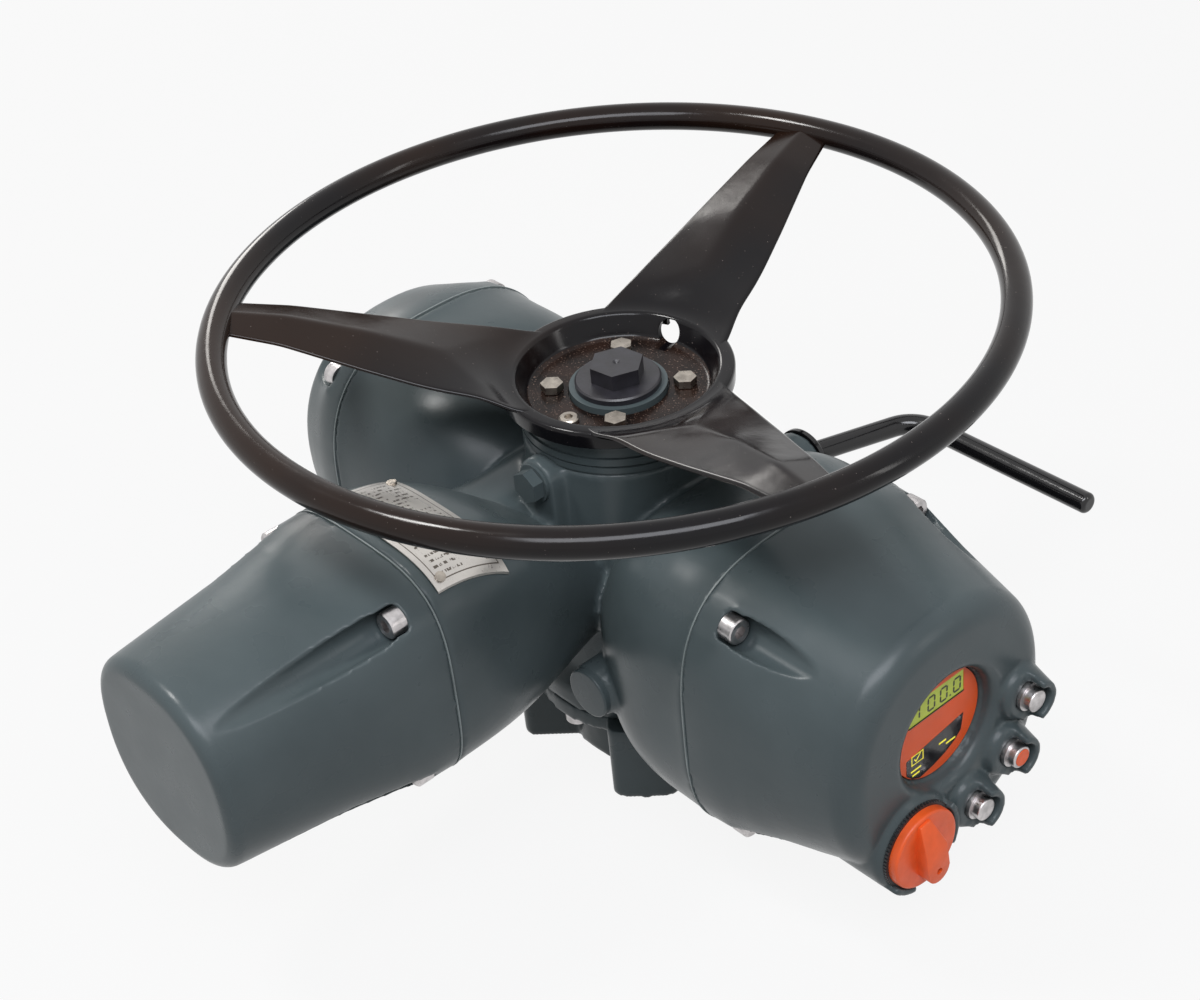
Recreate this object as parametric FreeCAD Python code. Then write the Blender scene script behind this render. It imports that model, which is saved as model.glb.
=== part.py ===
import FreeCAD, Part
import math
import os

# Multi-turn electric actuator for a valve. Millimetres, +Z up along the output axis.
# Origin: centre of the underside of the base flange.
# +X: control cover, -Y: motor, -X: terminal cover, +Y: hand/auto lever.

# Fits
FIT = 0.05                      # radial gap of located and running fits
SEAT_GAP = 0.3                  # gap between faces that slide or turn past each other

# Base flange, four feet on a ten-millimetre screw pattern
BASE_PCD = 102.0
FOOT_HOLE_R = 4.25
FOOT_HOLE_DEPTH = 18.0
FOOT_REACH = 69.0
FOOT_WIDTH = 35.0
FOOT_CORNER = 5.0
BASE_HEIGHT = 45.0
BASE_RING_R = 59.0
BASE_RING_THICK = 9.0
BASE_CORE_R = 42.0
BASE_BORE_R = 28.5
BASE_SCREW_RADIUS = 50.0
BASE_SCALLOP = 26.0             # length of the scallop under each of the screws of the flange ring

# Column of the gear housing
COLUMN_R = 50.0
COLUMN_TOP = 194.0
FLANGE_THICK = 12.0
CAP_HEIGHT = 9.2
CAP_SPIGOT_DEPTH = 10.0
CAP_SPIGOT_R = 40.0

# Arms: distance of the cover seam from the output axis, height of the arm axis,
# half width of the flange and its reach on the diagonal
MOTOR_SEAM = 163.5
MOTOR_Z = 152.0
MOTOR_HALF = 60.5
MOTOR_DIAG = 70.0
MOTOR_END = 284.0
MOTOR_END_HALF = 51.5
MOTOR_BORE_R = 56.0
CONTROL_SEAM = 121.0
CONTROL_Z = 110.0
CONTROL_HALF = 81.0
CONTROL_DIAG = 92.0
CONTROL_END = 214.0
CONTROL_END_HALF = 68.0
CONTROL_BORE_R = 73.0
TERMINAL_SEAM = 152.0
TERMINAL_Z = 121.0
TERMINAL_HALF = 77.0
TERMINAL_DIAG = 84.0
TERMINAL_END = 200.0
TERMINAL_END_HALF = 65.0
TERMINAL_BORE_R = 70.0
OUTLINE_POINTS = 32             # points of an arm's outline
SPIGOT_DEPTH = 10.0
SPIGOT_WALL = 3.5
COVER_WALL = 5.0
WAIST_SHARE = 0.4               # where the corners of a cover have nearly faded, as a share of its length
WAIST_SWELL = 0.6
WAIST_SLOPE = 0.4                # taper of the straight part beside that of the nose
# Each cover: length of its straight part, radius of its end edge, share of the corners left at its end
COVER_FORMS = {"motor": (15.0, 7.0, 0.3), "terminal": (15.0, 16.0, 0.3), "control": (16.0, 14.0, 0.15)}
SEAL_WIDTH = 2.6
SEAL_DEPTH = 2.0
# Cavities in the arms: distance of their floors from the output axis, slope of the floor's edge
CONTROL_FLOOR = 64.0
TERMINAL_FLOOR = 76.0
FLOOR_EDGE_IN = 18.0
FLOOR_EDGE_UP = 22.0

# Socket cap screws of the covers
SCREW_R = 4.0
SCREW_HEAD_R = 6.5
SCREW_HEAD_H = 8.0
SCREW_SOCKET_AF = 6.0
SCREW_SOCKET_DEPTH = 4.0
SCREW_HEAD_EDGE = 0.6
SCREW_SEAT = 13.0               # flange thickness under the head
SCREW_THREAD = 13.0             # depth of the thread in the housing
SCREW_HOLE_R = 4.2
SCALLOP_R = 8.2
SCREW_EDGE = 6.6                # from the screw axis to the corner of the flange

# Handwheel
RIM_R = 192.5
RIM_TUBE_R = 7.5
RIM_Z = 262.0
HUB_PLATE_Z = 209.5
HUB_PLATE_THICK = 3.0
HUB_FLOOR_R = 46.0
HUB_LIP_R = 52.0
HUB_LIP_Z = 224.0
HUB_SKIRT_R = 58.0
SHEET = 2.5
SPOKE_ANGLES = (-135.7, -15.7, 104.3)
# Pressed sections of a spoke: radius, half width, height of its edges, height of its ridge
SPOKE_SECTIONS = (
    (44.0, 35.5, 223.5, 223.8),
    (56.0, 35.0, 223.6, 223.9),
    (70.0, 30.7, 231.0, 231.8),
    (85.0, 29.0, 235.0, 238.0),
    (120.0, 23.5, 245.0, 250.5),
    (160.0, 16.5, 257.0, 261.5),
    (190.0, 12.5, 262.5, 265.5),
)
HUB_BOLT_RADIUS = 33.0
HUB_BOLT_R = 3.0
HUB_BOLT_AF = 10.0
HUB_BOLT_HEAD_H = 4.0
HUB_BOLT_ANGLES = (-45.0, 45.0, 135.0, 225.0)
HUB_SOCKET_ANGLE = -84.0
HUB_SOCKET_RADIUS = 36.5
LOCK_HEAD_R = 5.0
LOCK_HEAD_H = 2.5
LOCK_SOCKET_AF = 4.0
HUB_WINDOW_ANGLE = 104.3
HUB_WINDOW_R = 5.0
HUB_WINDOW_Z = 218.5

# Hand drive shaft
DRIVE_FLANGE_R = COLUMN_R - 1.0
DRIVE_FLANGE_THICK = 6.0
DRIVE_BOSS_R = 24.5
DRIVE_BOSS_RISE = 2.5
DRIVE_TUBE_R = 29.0
DRIVE_TUBE_BOTTOM = 186.5
DRIVE_BORE_R = 19.5
PLUG_THREAD_R = 15.0
PLUG_THREAD_LENGTH = 14.0
PLUG_FLANGE_R = 21.5
PLUG_FLANGE_THICK = 3.5
PLUG_HEX_AF = 24.0
PLUG_HEX_H = 8.5
PLUG_DIMPLE_R = 2.0
PLUG_DIMPLE_DEPTH = 1.6

SEAL_R = 36.0
SEAL_HEIGHT = 5.0

# Output drive sleeve and its bearings
SLEEVE_BOTTOM = 6.0
SLEEVE_TOP = 203.0
SLEEVE_FOOT_R = 27.0
SLEEVE_SEAT_R = 24.0
SLEEVE_R = 20.0
SLEEVE_SPLINE_R = 17.0
SLEEVE_BORE_R = 13.0
SPLINE_HEIGHT = 2.0
SPLINE_HALF = 3.0                # half width of a spline key
BUSH_R = 21.0
BUSH_BOTTOM = 2.0
BUSH_LENGTH = 36.0
BUSH_BORE_R = 10.0
BUSH_KEY_WIDTH = 6.0
BUSH_KEY_DEPTH = 2.8
LOWER_BEARING_Z = 49.0
LOWER_BEARING_H = 14.0
LOWER_BEARING_R = 38.0
UPPER_BEARING_Z = 118.0
UPPER_BEARING_H = 13.0
UPPER_BEARING_R = 34.0

# Worm drive: module, teeth of the wheel and worm size set the centre distance
WORM_MODULE = 1.5
WHEEL_TEETH = 32
WHEEL_FACE = 18.0
WORM_PITCH_R = 8.5
WORM_LENGTH = 34.0
WORM_THREAD_SHARE = 0.40        # thickness of a thread or tooth at the pitch line, of one pitch
WORM_SHAFT_R = 6.0
WORM_BEARING_R = 13.0
WORM_BEARING_H = 8.0
WORM_BEARING_AT = 29.0
# Sections of the casting round the worm shaft: half width, reach on the diagonal, place
WORM_POD = ((24.0, 26.0, -47.0), (27.0, 30.0, -30.0), (28.0, 31.0, 60.0), (36.0, 40.0, 112.0))

# Spur pair between the motor and the worm shaft
SPUR_MODULE = 1.5
GEAR_FACE = 9.0
PINION_TEETH = 20
GEAR_AT = 125.0
GEAR_ROOM_R = 20.3
SPUR_TOOTH_SHARE = 0.43

# Motor
SHIELD_THICK = 9.0
SHIELD_AT = 144.0
STATOR_R = 47.0
STATOR_BORE_R = 28.5
STATOR_LENGTH = 58.0
STATOR_START = 170.0
ROTOR_R = 28.0
BRACKET_Z = 250.0
BRACKET_R = 46.0
TIE_RADIUS = 43.5
TIE_R = 2.0
SHAFT_END_R = 6.0
MOTOR_SHAFT_R = 8.0
MOTOR_BEARING_R = 17.0
WINDING_LENGTH = 13.0
WINDING_WALL = 10.0
WINDING_GAP = 1.5               # from the stator's bore to the windings
REAR_BEARING_R = MOTOR_BEARING_R - 3.0

# Clutch and hand/auto lever
CLUTCH_BOTTOM = 166.0
CLUTCH_HEIGHT = 13.0
CLUTCH_R = 26.0
CLUTCH_GROOVE_R = 22.5
CLUTCH_GROOVE_H = 4.6
DOG_COUNT = 4
DOG_HEIGHT = 5.0
DOG_INNER_R = 20.0
DOG_OUTER_R = 25.5
DOG_ANGLE = 30.0
YOKE_THICK = 4.0
LEVER_X = 54.0
LEVER_Z = 156.0
LEVER_SHAFT_R = 8.0
LEVER_BOSS_R = 15.0
LEVER_BOSS_START = 40.0
LEVER_BOSS_END = 71.0
LEVER_BUSH_WALL = 2.5
LEVER_ROD_R = 5.4
LEVER_TILT = 19.4               # first leg of the rod, from +Y towards +X
LEVER_CORNER_Y = 133.5
LEVER_BEND_R = 18.0
LEVER_END_X = 187.0
LEVER_COLLAR_R = 15.5
LEVER_COLLAR_H = 3.2
LEVER_SPIGOT = 1.2              # how far the lever's shaft enters its collar
LEVER_SWING = 25.0
ECCENTRIC = 15.0
ECCENTRIC_PIN_R = 3.5
CRANK_Y = 15.8
CRANK_THICK = 4.4
YOKE_LUG_Y = 8.5
YOKE_LUG_THICK = 6.0
YOKE_LUG_WIDTH = 12.5
YOKE_REACH = 32.8
GUIDE_PIN_R = 2.0
GUIDE_PIN_RADIUS = 31.2
GUIDE_PIN_ANGLE = -35.0

# Control panel. The window and the knob are placed from the window's centre, the buttons on a
# circle round the arm's axis; depths and rises count from the cover's front face.
PANEL_RISE = 4.0                # window centre above the arm axis
PANEL_ROOT = 28.0               # how far the knob's boss and the holes reach into the cover
WINDOW_R = 31.0
WINDOW_HOLE_R = 29.5
WINDOW_LIP = 5.0
WINDOW_LEDGE = CONTROL_END - 8.0
GLASS_THICK = 2.0
PANEL_R = 29.0
PANEL_THICK = 3.0
PANEL_DROP = 0.3
LCD_WIDTH = 38.0
LCD_HEIGHT = 13.0
LCD_RISE = 8.0
LCD_DEPTH = 1.0
BUTTON_ANGLES = (-3.0, -39.0, -75.0)
BUTTON_RADIUS = 48.7
BUTTON_R = 5.9
BUTTON_BOSS_R = 14.8
BUTTON_BOSS_DEPTH = 12.0
BUTTON_FACE = CONTROL_END + 12.0
BUTTON_HOOD = CONTROL_END + 14.0
HOOD_R = 11.0                   # radius of the hood at its top
HOOD_CUT = CONTROL_END + 5.0
HOOD_EDGE = 4.0
BUTTON_SLEEVE_R = 7.4
BUTTON_SLEEVE_END = HOOD_CUT + 2.0
BUTTON_LENGTH = 22.0
BUTTON_INSET_R = 4.6
BUTTON_INSET = 1.5
KNOB_ANGLE = -118.6
KNOB_RADIUS = 56.7
KNOB_BOSS_R = 25.5
KNOB_BOSS_END = CONTROL_END + 3.0
KNOB_BOSS_EDGE = 4.0
KNOB_DISC_R = 21.0
KNOB_DISC_H = 6.0
KNOB_GRIP_H = 13.0
KNOB_GRIP_WIDTH = 14.0
KNOB_GRIP_LOW = 16.0
KNOB_GRIP_TOP = 5.0
KNOB_GRIP_TURN = 6.0
KNOB_SPINDLE_R = 4.0
KNOB_SPINDLE_IN = 8.0           # how far the spindle enters the knob
# Guards round the knob: middle angle and width
KNOB_GUARDS = ((0.0, 62.0), (-52.0, 14.0), (-122.0, 40.0))
KNOB_GUARD_H = 5.0

# Electronics
BOARD_R = 56.0
BOARD_Z = 172.0
BOARD_THICK = 1.6
MODULE_WIDTH = 40.0             # display module between the board and the panel
MODULE_HEIGHT = 32.0
RELAY_PLACES = (-30.0, -10.0, 10.0)
RELAY_SIZE = (12.0, 16.0, 14.0)
RELAY_LOW = -44.0
UNIT_PLATE = 4.0                # switchgear: mounting plate, blocks and pillars
UNIT_PLACES = (-38.0, 4.0)
UNIT_WIDTH = 34.0
UNIT_SPAN = (-24.0, 26.0)
UNIT_HEIGHT = 38.0
UNIT_CABLE_HOLE_R = 10.0
UNIT_CABLE_HOLE_Y = -50.0
PILLAR_R = 3.5
PILLAR_INSET = 6.0

# Plugs on the housing
OIL_PLUG_Z = 186.0
OIL_PLUG_Y = -58.0
OIL_BOSS_R = 12.0
OIL_PLUG_AF = 15.0
OIL_PLUG_HEAD = 6.0
OIL_WASHER_R = 10.0
OIL_WASHER_H = 1.5
OIL_THREAD_R = 6.0
OIL_THREAD_LENGTH = 12.0
OIL_BOSS_ROOT = 15.0            # how far the boss and its foot reach into the column
OIL_BOSS_FOOT = 20.0            # how far the foot runs down below the motor axis
SIDE_PLUG_X = 52.0
SIDE_PLUG_Z = 95.0
SIDE_PLUG_Y = -79.0
SIDE_BOSS_R = 14.0
SIDE_PLUG_R = 11.0
SIDE_PLUG_HEAD = 3.0
SIDE_THREAD_R = SIDE_PLUG_R - 2.0
SIDE_THREAD_LENGTH = 12.0
SIDE_THREAD_DEPTH = 15.0

# Nameplate wrapped over the motor arm
PLATE_FROM = 117.0
PLATE_TO = 157.0
PLATE_LEFT = -34.0
PLATE_RIGHT = 50.0
PLATE_THICK = 0.8
PLATE_GAP = 0.25
RIVET_R = 1.6
RIVET_RIM = 1.0
RIVET_RISE = 1.1
RIVET_INSET = 5.0

# Cable entries under the terminal arm
ENTRY_X = -112.0
ENTRY_PITCH = 40.0
ENTRY_BOSS_R = 17.0
ENTRY_FACE_Z = 34.0
ENTRY_R = 11.7
ENTRY_LENGTH = 16.0
ENTRY_BOSS_TOP = 70.0
ENTRY_BORE_TOP = 80.0
ENTRY_HEAD_H = 4.0
ENTRY_HEX_AF = 10.0

# Terminal blocks: three rows of screws on one carrier plate
CARRIER_THICK = 6.0
BLOCK_ROWS = (-34.0, -8.0, 18.0)
BLOCK_HALF = 44.0
BLOCK_DEPTH = 14.0
BLOCK_RISE = 8.0
TERMINALS = 8
TERMINAL_PITCH = 11.0
TERMINAL_SCREW_R = 3.0
TERMINAL_SCREW_H = 2.0

# Derived sizes
WORM_X = -(WORM_PITCH_R + WORM_MODULE * WHEEL_TEETH / 2.0)
SPUR_CENTRE = -WORM_X
GEAR_TEETH = round(2.0 * SPUR_CENTRE / SPUR_MODULE) - PINION_TEETH
SPUR_PITCH_MODULE = 2.0 * SPUR_CENTRE / (GEAR_TEETH + PINION_TEETH)
CAP_TOP = COLUMN_TOP + CAP_HEIGHT
DRIVE_FLANGE_Z = HUB_PLATE_Z - DRIVE_FLANGE_THICK
HUB_TOP = HUB_PLATE_Z + HUB_PLATE_THICK
DRIVE_BOSS_TOP = HUB_TOP + DRIVE_BOSS_RISE
WHEEL_TOP = MOTOR_Z + WHEEL_FACE / 2.0


def vec(x, y, z):
    return FreeCAD.Vector(x, y, z)


ORIGIN = vec(0, 0, 0)
UP = vec(0, 0, 1)
os.makedirs("parts", exist_ok=True)


def save(name, shape):
    """One STEP file per piece."""
    if isinstance(shape, list):
        shape = Part.makeCompound(shape)
    shape.exportStep("parts/" + name + ".step")


def frame(origin, along, up=UP):
    """A placement whose Z runs along the given direction and whose Y is up."""
    z = vec(*along).normalize()
    y = (up - z * up.dot(z)).normalize()
    x = y.cross(z)
    return FreeCAD.Placement(FreeCAD.Matrix(
        x.x, y.x, z.x, origin.x,
        x.y, y.y, z.y, origin.y,
        x.z, y.z, z.z, origin.z,
        0, 0, 0, 1))


def put(shape, placement):
    moved = shape.copy()
    moved.Placement = placement.multiply(moved.Placement)
    return moved


def fuse(first, *others):
    return first.multiFuse(list(others)).removeSplitter()


def cylinder(radius, z0, z1, x=0.0, y=0.0):
    return Part.makeCylinder(radius, z1 - z0, vec(x, y, z0))


def tube(outer, inner, z0, z1, x=0.0, y=0.0):
    return cylinder(outer, z0, z1, x, y).cut(cylinder(inner, z0 - 1, z1 + 1, x, y))


def box(x0, x1, y0, y1, z0, z1):
    return Part.makeBox(x1 - x0, y1 - y0, z1 - z0, vec(x0, y0, z0))


def prism(points, z0, z1):
    """A flat outline of (x, y) points, raised from z0 to z1."""
    corners = [vec(x, y, z0) for x, y in points]
    face = Part.Face(Part.makePolygon(corners + corners[:1]))
    return face.extrude(vec(0, 0, z1 - z0))


def turned(profile):
    """A closed outline of (radius, z) points, turned about Z."""
    corners = [vec(r, 0, z) for r, z in profile]
    face = Part.Face(Part.makePolygon(corners + corners[:1]))
    return face.revolve(ORIGIN, UP, 360)


def hexagon(across_flats, z0, z1, x=0.0, y=0.0, turn=0.0):
    reach = across_flats / math.sqrt(3.0)
    points = []
    for k in range(6):
        a = math.radians(turn + 60.0 * k)
        points.append((x + reach * math.cos(a), y + reach * math.sin(a)))
    return prism(points, z0, z1)


def edges_at(shape, z, tolerance=0.01):
    """Edges that lie wholly in the plane at height z."""
    return [e for e in shape.Edges
            if abs(e.BoundBox.ZMin - z) < tolerance and abs(e.BoundBox.ZMax - z) < tolerance]


def polar(radius, degrees):
    a = math.radians(degrees)
    return radius * math.cos(a), radius * math.sin(a)


def squircle(half, diag, z, rise=0.0):
    """A square outline with bulged sides and round corners: a superellipse."""
    power = 1.0 / (0.5 - math.log2(diag / half))
    points = []
    for k in range(OUTLINE_POINTS):
        a = 2.0 * math.pi * k / OUTLINE_POINTS
        c, s = math.cos(a), math.sin(a)
        r = half / (abs(c) ** power + abs(s) ** power) ** (1.0 / power)
        points.append(vec(r * c, r * s + rise, z))
    curve = Part.BSplineCurve()
    curve.interpolate(points, True)
    return Part.Wire([curve.toShape()])


def lofted(sections, ruled=False):
    return Part.makeLoft([squircle(*s) for s in sections], True, ruled)


def along_motor():
    return frame(vec(0, 0, MOTOR_Z), (0, -1, 0))


def along_control():
    return frame(vec(0, 0, CONTROL_Z), (1, 0, 0))


def along_terminal():
    return frame(vec(0, 0, TERMINAL_Z), (-1, 0, 0))


# Cover arms share one set of rules: sections, screws, scallops and seals

ARMS = {
    "motor": (along_motor(), MOTOR_SEAM, MOTOR_HALF, MOTOR_DIAG, MOTOR_END, MOTOR_END_HALF, MOTOR_BORE_R),
    "control": (along_control(), CONTROL_SEAM, CONTROL_HALF, CONTROL_DIAG, CONTROL_END,
                CONTROL_END_HALF, CONTROL_BORE_R),
    "terminal": (along_terminal(), TERMINAL_SEAM, TERMINAL_HALF, TERMINAL_DIAG, TERMINAL_END,
                 TERMINAL_END_HALF, TERMINAL_BORE_R),
}


# Sections of each arm's casting, from the seam inwards: share of the reach, share of the
# half width, and how far the section's centre lies from the arm's axis
ARM_BOWLS = {
    "motor": ((1.0, 1.0, 0.0), (0.86, 0.99, 0.0), (0.70, 0.93, -4.0), (0.54, 0.80, -12.0),
              (0.38, 0.62, -24.0), (0.20, 0.45, -32.0)),
    "control": ((1.0, 1.0, 0.0), (0.78, 0.99, 0.0), (0.58, 0.95, 0.0), (0.42, 0.84, -2.0),
                (0.28, 0.66, -4.0), (0.14, 0.45, -6.0)),
    "terminal": ((1.0, 1.0, 0.0), (0.80, 0.99, 0.0), (0.60, 0.96, -1.0), (0.43, 0.86, -4.0),
                 (0.28, 0.70, -8.0), (0.12, 0.50, -10.0)),
}


def screw_places(arm):
    """Centres of an arm's four cover screws, on its diagonals."""
    reach = ARMS[arm][3] - SCREW_EDGE
    return [polar(reach, 45.0 + 90.0 * k) for k in range(4)]


def arm_outside(arm, grow=0.0):
    """The casting of one arm: a bowl that narrows and drops towards the column."""
    seam, half, diag = ARMS[arm][1:4]
    swell = diag / half - 1.0
    sections = []
    for reach, size, rise in ARM_BOWLS[arm]:
        corner = 1.0 + swell * max(0.2, (size - 0.44) / 0.56)
        sections.append((half * size + grow, half * size * corner + grow, seam * reach, rise))
    return lofted(sections)


def socket_screw(seat, shank_end, x, y):
    """A socket head cap screw: the head stands on z = seat, the shank ends at shank_end."""
    head = cylinder(SCREW_HEAD_R, seat, seat + SCREW_HEAD_H, x, y)
    head = head.makeChamfer(SCREW_HEAD_EDGE, edges_at(head, seat + SCREW_HEAD_H))
    shank = cylinder(SCREW_R, shank_end, seat, x, y)
    socket_z = seat + SCREW_HEAD_H - SCREW_SOCKET_DEPTH
    socket = hexagon(SCREW_SOCKET_AF, socket_z, seat + SCREW_HEAD_H + 1, x, y)
    return fuse(head, shank).cut(socket)


def cover_screws(arm):
    placement, seam = ARMS[arm][:2]
    return [put(socket_screw(seam + SCREW_SEAT, seam - SCREW_THREAD, x, y), placement)
            for x, y in screw_places(arm)]


def cover_seal(arm):
    placement, seam = ARMS[arm][:2]
    bore = ARMS[arm][6]
    middle = seam - SPIGOT_DEPTH / 2.0
    ring = tube(bore - FIT, bore - SEAL_DEPTH, middle - SEAL_WIDTH / 2.0, middle + SEAL_WIDTH / 2.0)
    return put(ring, placement)


def cover_outside(arm):
    """The tapered form of a cover: a straight part at the seam and a nose with a rounded end."""
    seam, half, diag, end, end_half = ARMS[arm][1:6]
    straight, soften, corners_left = COVER_FORMS[arm]
    swell = diag / half - 1.0
    taper = (half - end_half) / (end - seam) * straight * WAIST_SLOPE
    middle = (half - taper, diag - taper, seam + straight)
    waist_half = middle[0] + (end_half - middle[0]) * WAIST_SHARE
    waist = (waist_half, waist_half * (1.0 + swell * WAIST_SWELL),
             middle[2] + (end - middle[2]) * WAIST_SHARE)
    nose = lofted([middle, waist, (end_half, end_half * (1.0 + swell * corners_left), end)], True)
    nose = nose.makeFillet(soften, edges_at(nose, end))
    return lofted([(half, diag, seam), middle], True).fuse(nose)


def cover_blank(arm):
    """A tapered hollow cover in its arm's own frame, with spigot, screw holes and scallops."""
    seam, end, end_half, bore = ARMS[arm][1], *ARMS[arm][4:]
    soften = COVER_FORMS[arm][1]
    inner_end = end - soften * 0.4 - COVER_WALL
    hollow = turned([(0, seam - 1), (bore - SPIGOT_WALL, seam - 1),
                     (bore - SPIGOT_WALL, seam + SCREW_SEAT + SCREW_HEAD_H),
                     (end_half - COVER_WALL - soften * 0.3, inner_end), (0, inner_end)])
    spigot = tube(bore - FIT, bore - SPIGOT_WALL, seam - SPIGOT_DEPTH, seam + 1)
    middle = seam - SPIGOT_DEPTH / 2.0
    groove = tube(bore + 1, bore - SEAL_DEPTH, middle - SEAL_WIDTH / 2.0, middle + SEAL_WIDTH / 2.0)
    cover = cover_outside(arm).cut(hollow).fuse(spigot).cut(groove)
    cuts = []
    for x, y in screw_places(arm):
        cuts.append(cylinder(SCREW_HOLE_R, seam - 1, seam + SCREW_SEAT + 1, x, y))
        cuts.append(cylinder(SCALLOP_R, seam + SCREW_SEAT, end + 1, x, y))
    return cover.cut(Part.makeCompound(cuts))


def hollow_arm(arm, floor):
    """The round cavity of one arm, with its screw holes, in the row frame."""
    placement, seam = ARMS[arm][:2]
    bore = ARMS[arm][6]
    cavity = [turned([(0, floor), (bore - FLOOR_EDGE_IN, floor), (bore, floor + FLOOR_EDGE_UP),
                      (bore, seam + 1), (0, seam + 1)])]
    for x, y in screw_places(arm):
        cavity.append(cylinder(SCREW_R + FIT, seam - SCREW_THREAD, seam + 1, x, y))
    return [put(c, placement) for c in cavity]


# Base flange

def foot_angles():
    return [45.0 + 90.0 * k for k in range(4)]


def base_screw_angles():
    return [90.0 * k for k in range(4)]


def base_flange():
    ring_z = BASE_HEIGHT - BASE_RING_THICK
    core = cylinder(BASE_CORE_R, 0, BASE_HEIGHT)
    ring = cylinder(BASE_RING_R, ring_z, BASE_HEIGHT)
    feet = []
    for angle in foot_angles():
        pad = box(20.0, FOOT_REACH + 10.0, -FOOT_WIDTH / 2.0, FOOT_WIDTH / 2.0, 0, BASE_HEIGHT)
        pad = pad.common(cylinder(FOOT_REACH, 0, BASE_HEIGHT))
        corners = [e for e in pad.Edges if e.BoundBox.ZLength > BASE_HEIGHT - 1
                   and e.CenterOfMass.x > BASE_CORE_R]
        pad = pad.makeFillet(FOOT_CORNER, corners)
        pad.rotate(ORIGIN, UP, angle)
        feet.append(pad)
    base = fuse(core, ring, *feet)
    cuts = [cylinder(BASE_BORE_R, -1, BASE_HEIGHT + 1)]
    for angle in foot_angles():
        x, y = polar(BASE_PCD / 2.0, angle)
        cuts.append(cylinder(FOOT_HOLE_R, -1, FOOT_HOLE_DEPTH, x, y))
    for angle in base_screw_angles():
        x, y = polar(BASE_SCREW_RADIUS, angle)
        cuts.append(cylinder(SCREW_HOLE_R, ring_z - 1, BASE_HEIGHT + 1, x, y))
        cuts.append(cylinder(SCALLOP_R, ring_z - BASE_SCALLOP, ring_z, x, y))
    return base.cut(Part.makeCompound(cuts))


def base_screws():
    seat = BASE_HEIGHT - BASE_RING_THICK
    screws = []
    for angle in base_screw_angles():
        x, y = polar(BASE_SCREW_RADIUS, angle)
        screw = socket_screw(0, -BASE_RING_THICK - FLANGE_THICK + 2.0, 0, 0)
        down = FreeCAD.Placement(vec(x, y, seat), FreeCAD.Rotation(vec(1, 0, 0), 180))
        screws.append(put(screw, down))
    return screws


# Gear housing

def yoke_z():
    """Underside of the shift yoke, centred in the clutch ring's groove."""
    return CLUTCH_BOTTOM + (CLUTCH_HEIGHT - YOKE_THICK) / 2.0


def clutch_lift():
    return ECCENTRIC * math.sin(math.radians(LEVER_SWING))


def along_lever():
    return frame(vec(LEVER_X, 0, LEVER_Z), (0, 1, 0))


def along_worm():
    return frame(vec(WORM_X, 0, MOTOR_Z), (0, 1, 0))


def along_oil_plug():
    return frame(vec(0, 0, OIL_PLUG_Z), (0, -1, 0))


def along_side_plug():
    return frame(vec(SIDE_PLUG_X, 0, SIDE_PLUG_Z), (0, -1, 0))


def entry_places():
    return [(ENTRY_X, k * ENTRY_PITCH) for k in (-1, 0, 1)]


def housing_outside():
    flange_top = BASE_HEIGHT + FLANGE_THICK
    column = turned([(0, BASE_HEIGHT), (BASE_RING_R, BASE_HEIGHT), (BASE_RING_R, flange_top),
                     (COLUMN_R, flange_top + 8.0), (COLUMN_R, COLUMN_TOP), (0, COLUMN_TOP)])
    pieces = [put(arm_outside(arm), ARMS[arm][0]) for arm in ARMS]
    pieces.append(put(cylinder(LEVER_BOSS_R, LEVER_BOSS_START, LEVER_BOSS_END), along_lever()))
    oil_root = COLUMN_R - OIL_BOSS_ROOT
    pieces.append(put(cylinder(OIL_BOSS_R, oil_root, -OIL_PLUG_Y), along_oil_plug()))
    pieces.append(box(-OIL_BOSS_R, OIL_BOSS_R, OIL_PLUG_Y, -oil_root, MOTOR_Z - OIL_BOSS_FOOT, OIL_PLUG_Z))
    pieces.append(put(cylinder(SIDE_BOSS_R, 20.0, -SIDE_PLUG_Y), along_side_plug()))
    pieces.append(put(lofted(WORM_POD), frame(vec(WORM_X + 5.0, 0, MOTOR_Z - 8.0), (0, -1, 0))))
    for x, y in entry_places():
        pieces.append(cylinder(ENTRY_BOSS_R, ENTRY_FACE_Z, ENTRY_BOSS_TOP, x, y))
    body = fuse(column, *pieces)
    spot_face = cylinder(LEVER_COLLAR_R + 1.0, LEVER_BOSS_END, LEVER_BOSS_END + 10.0)
    return body.cut([cylinder(FOOT_REACH + 2.0, 0, BASE_HEIGHT), put(spot_face, along_lever()),
                     box(-OIL_BOSS_R, OIL_BOSS_R, -COLUMN_R, 0, COLUMN_TOP, COLUMN_TOP + OIL_BOSS_R)])


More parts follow.
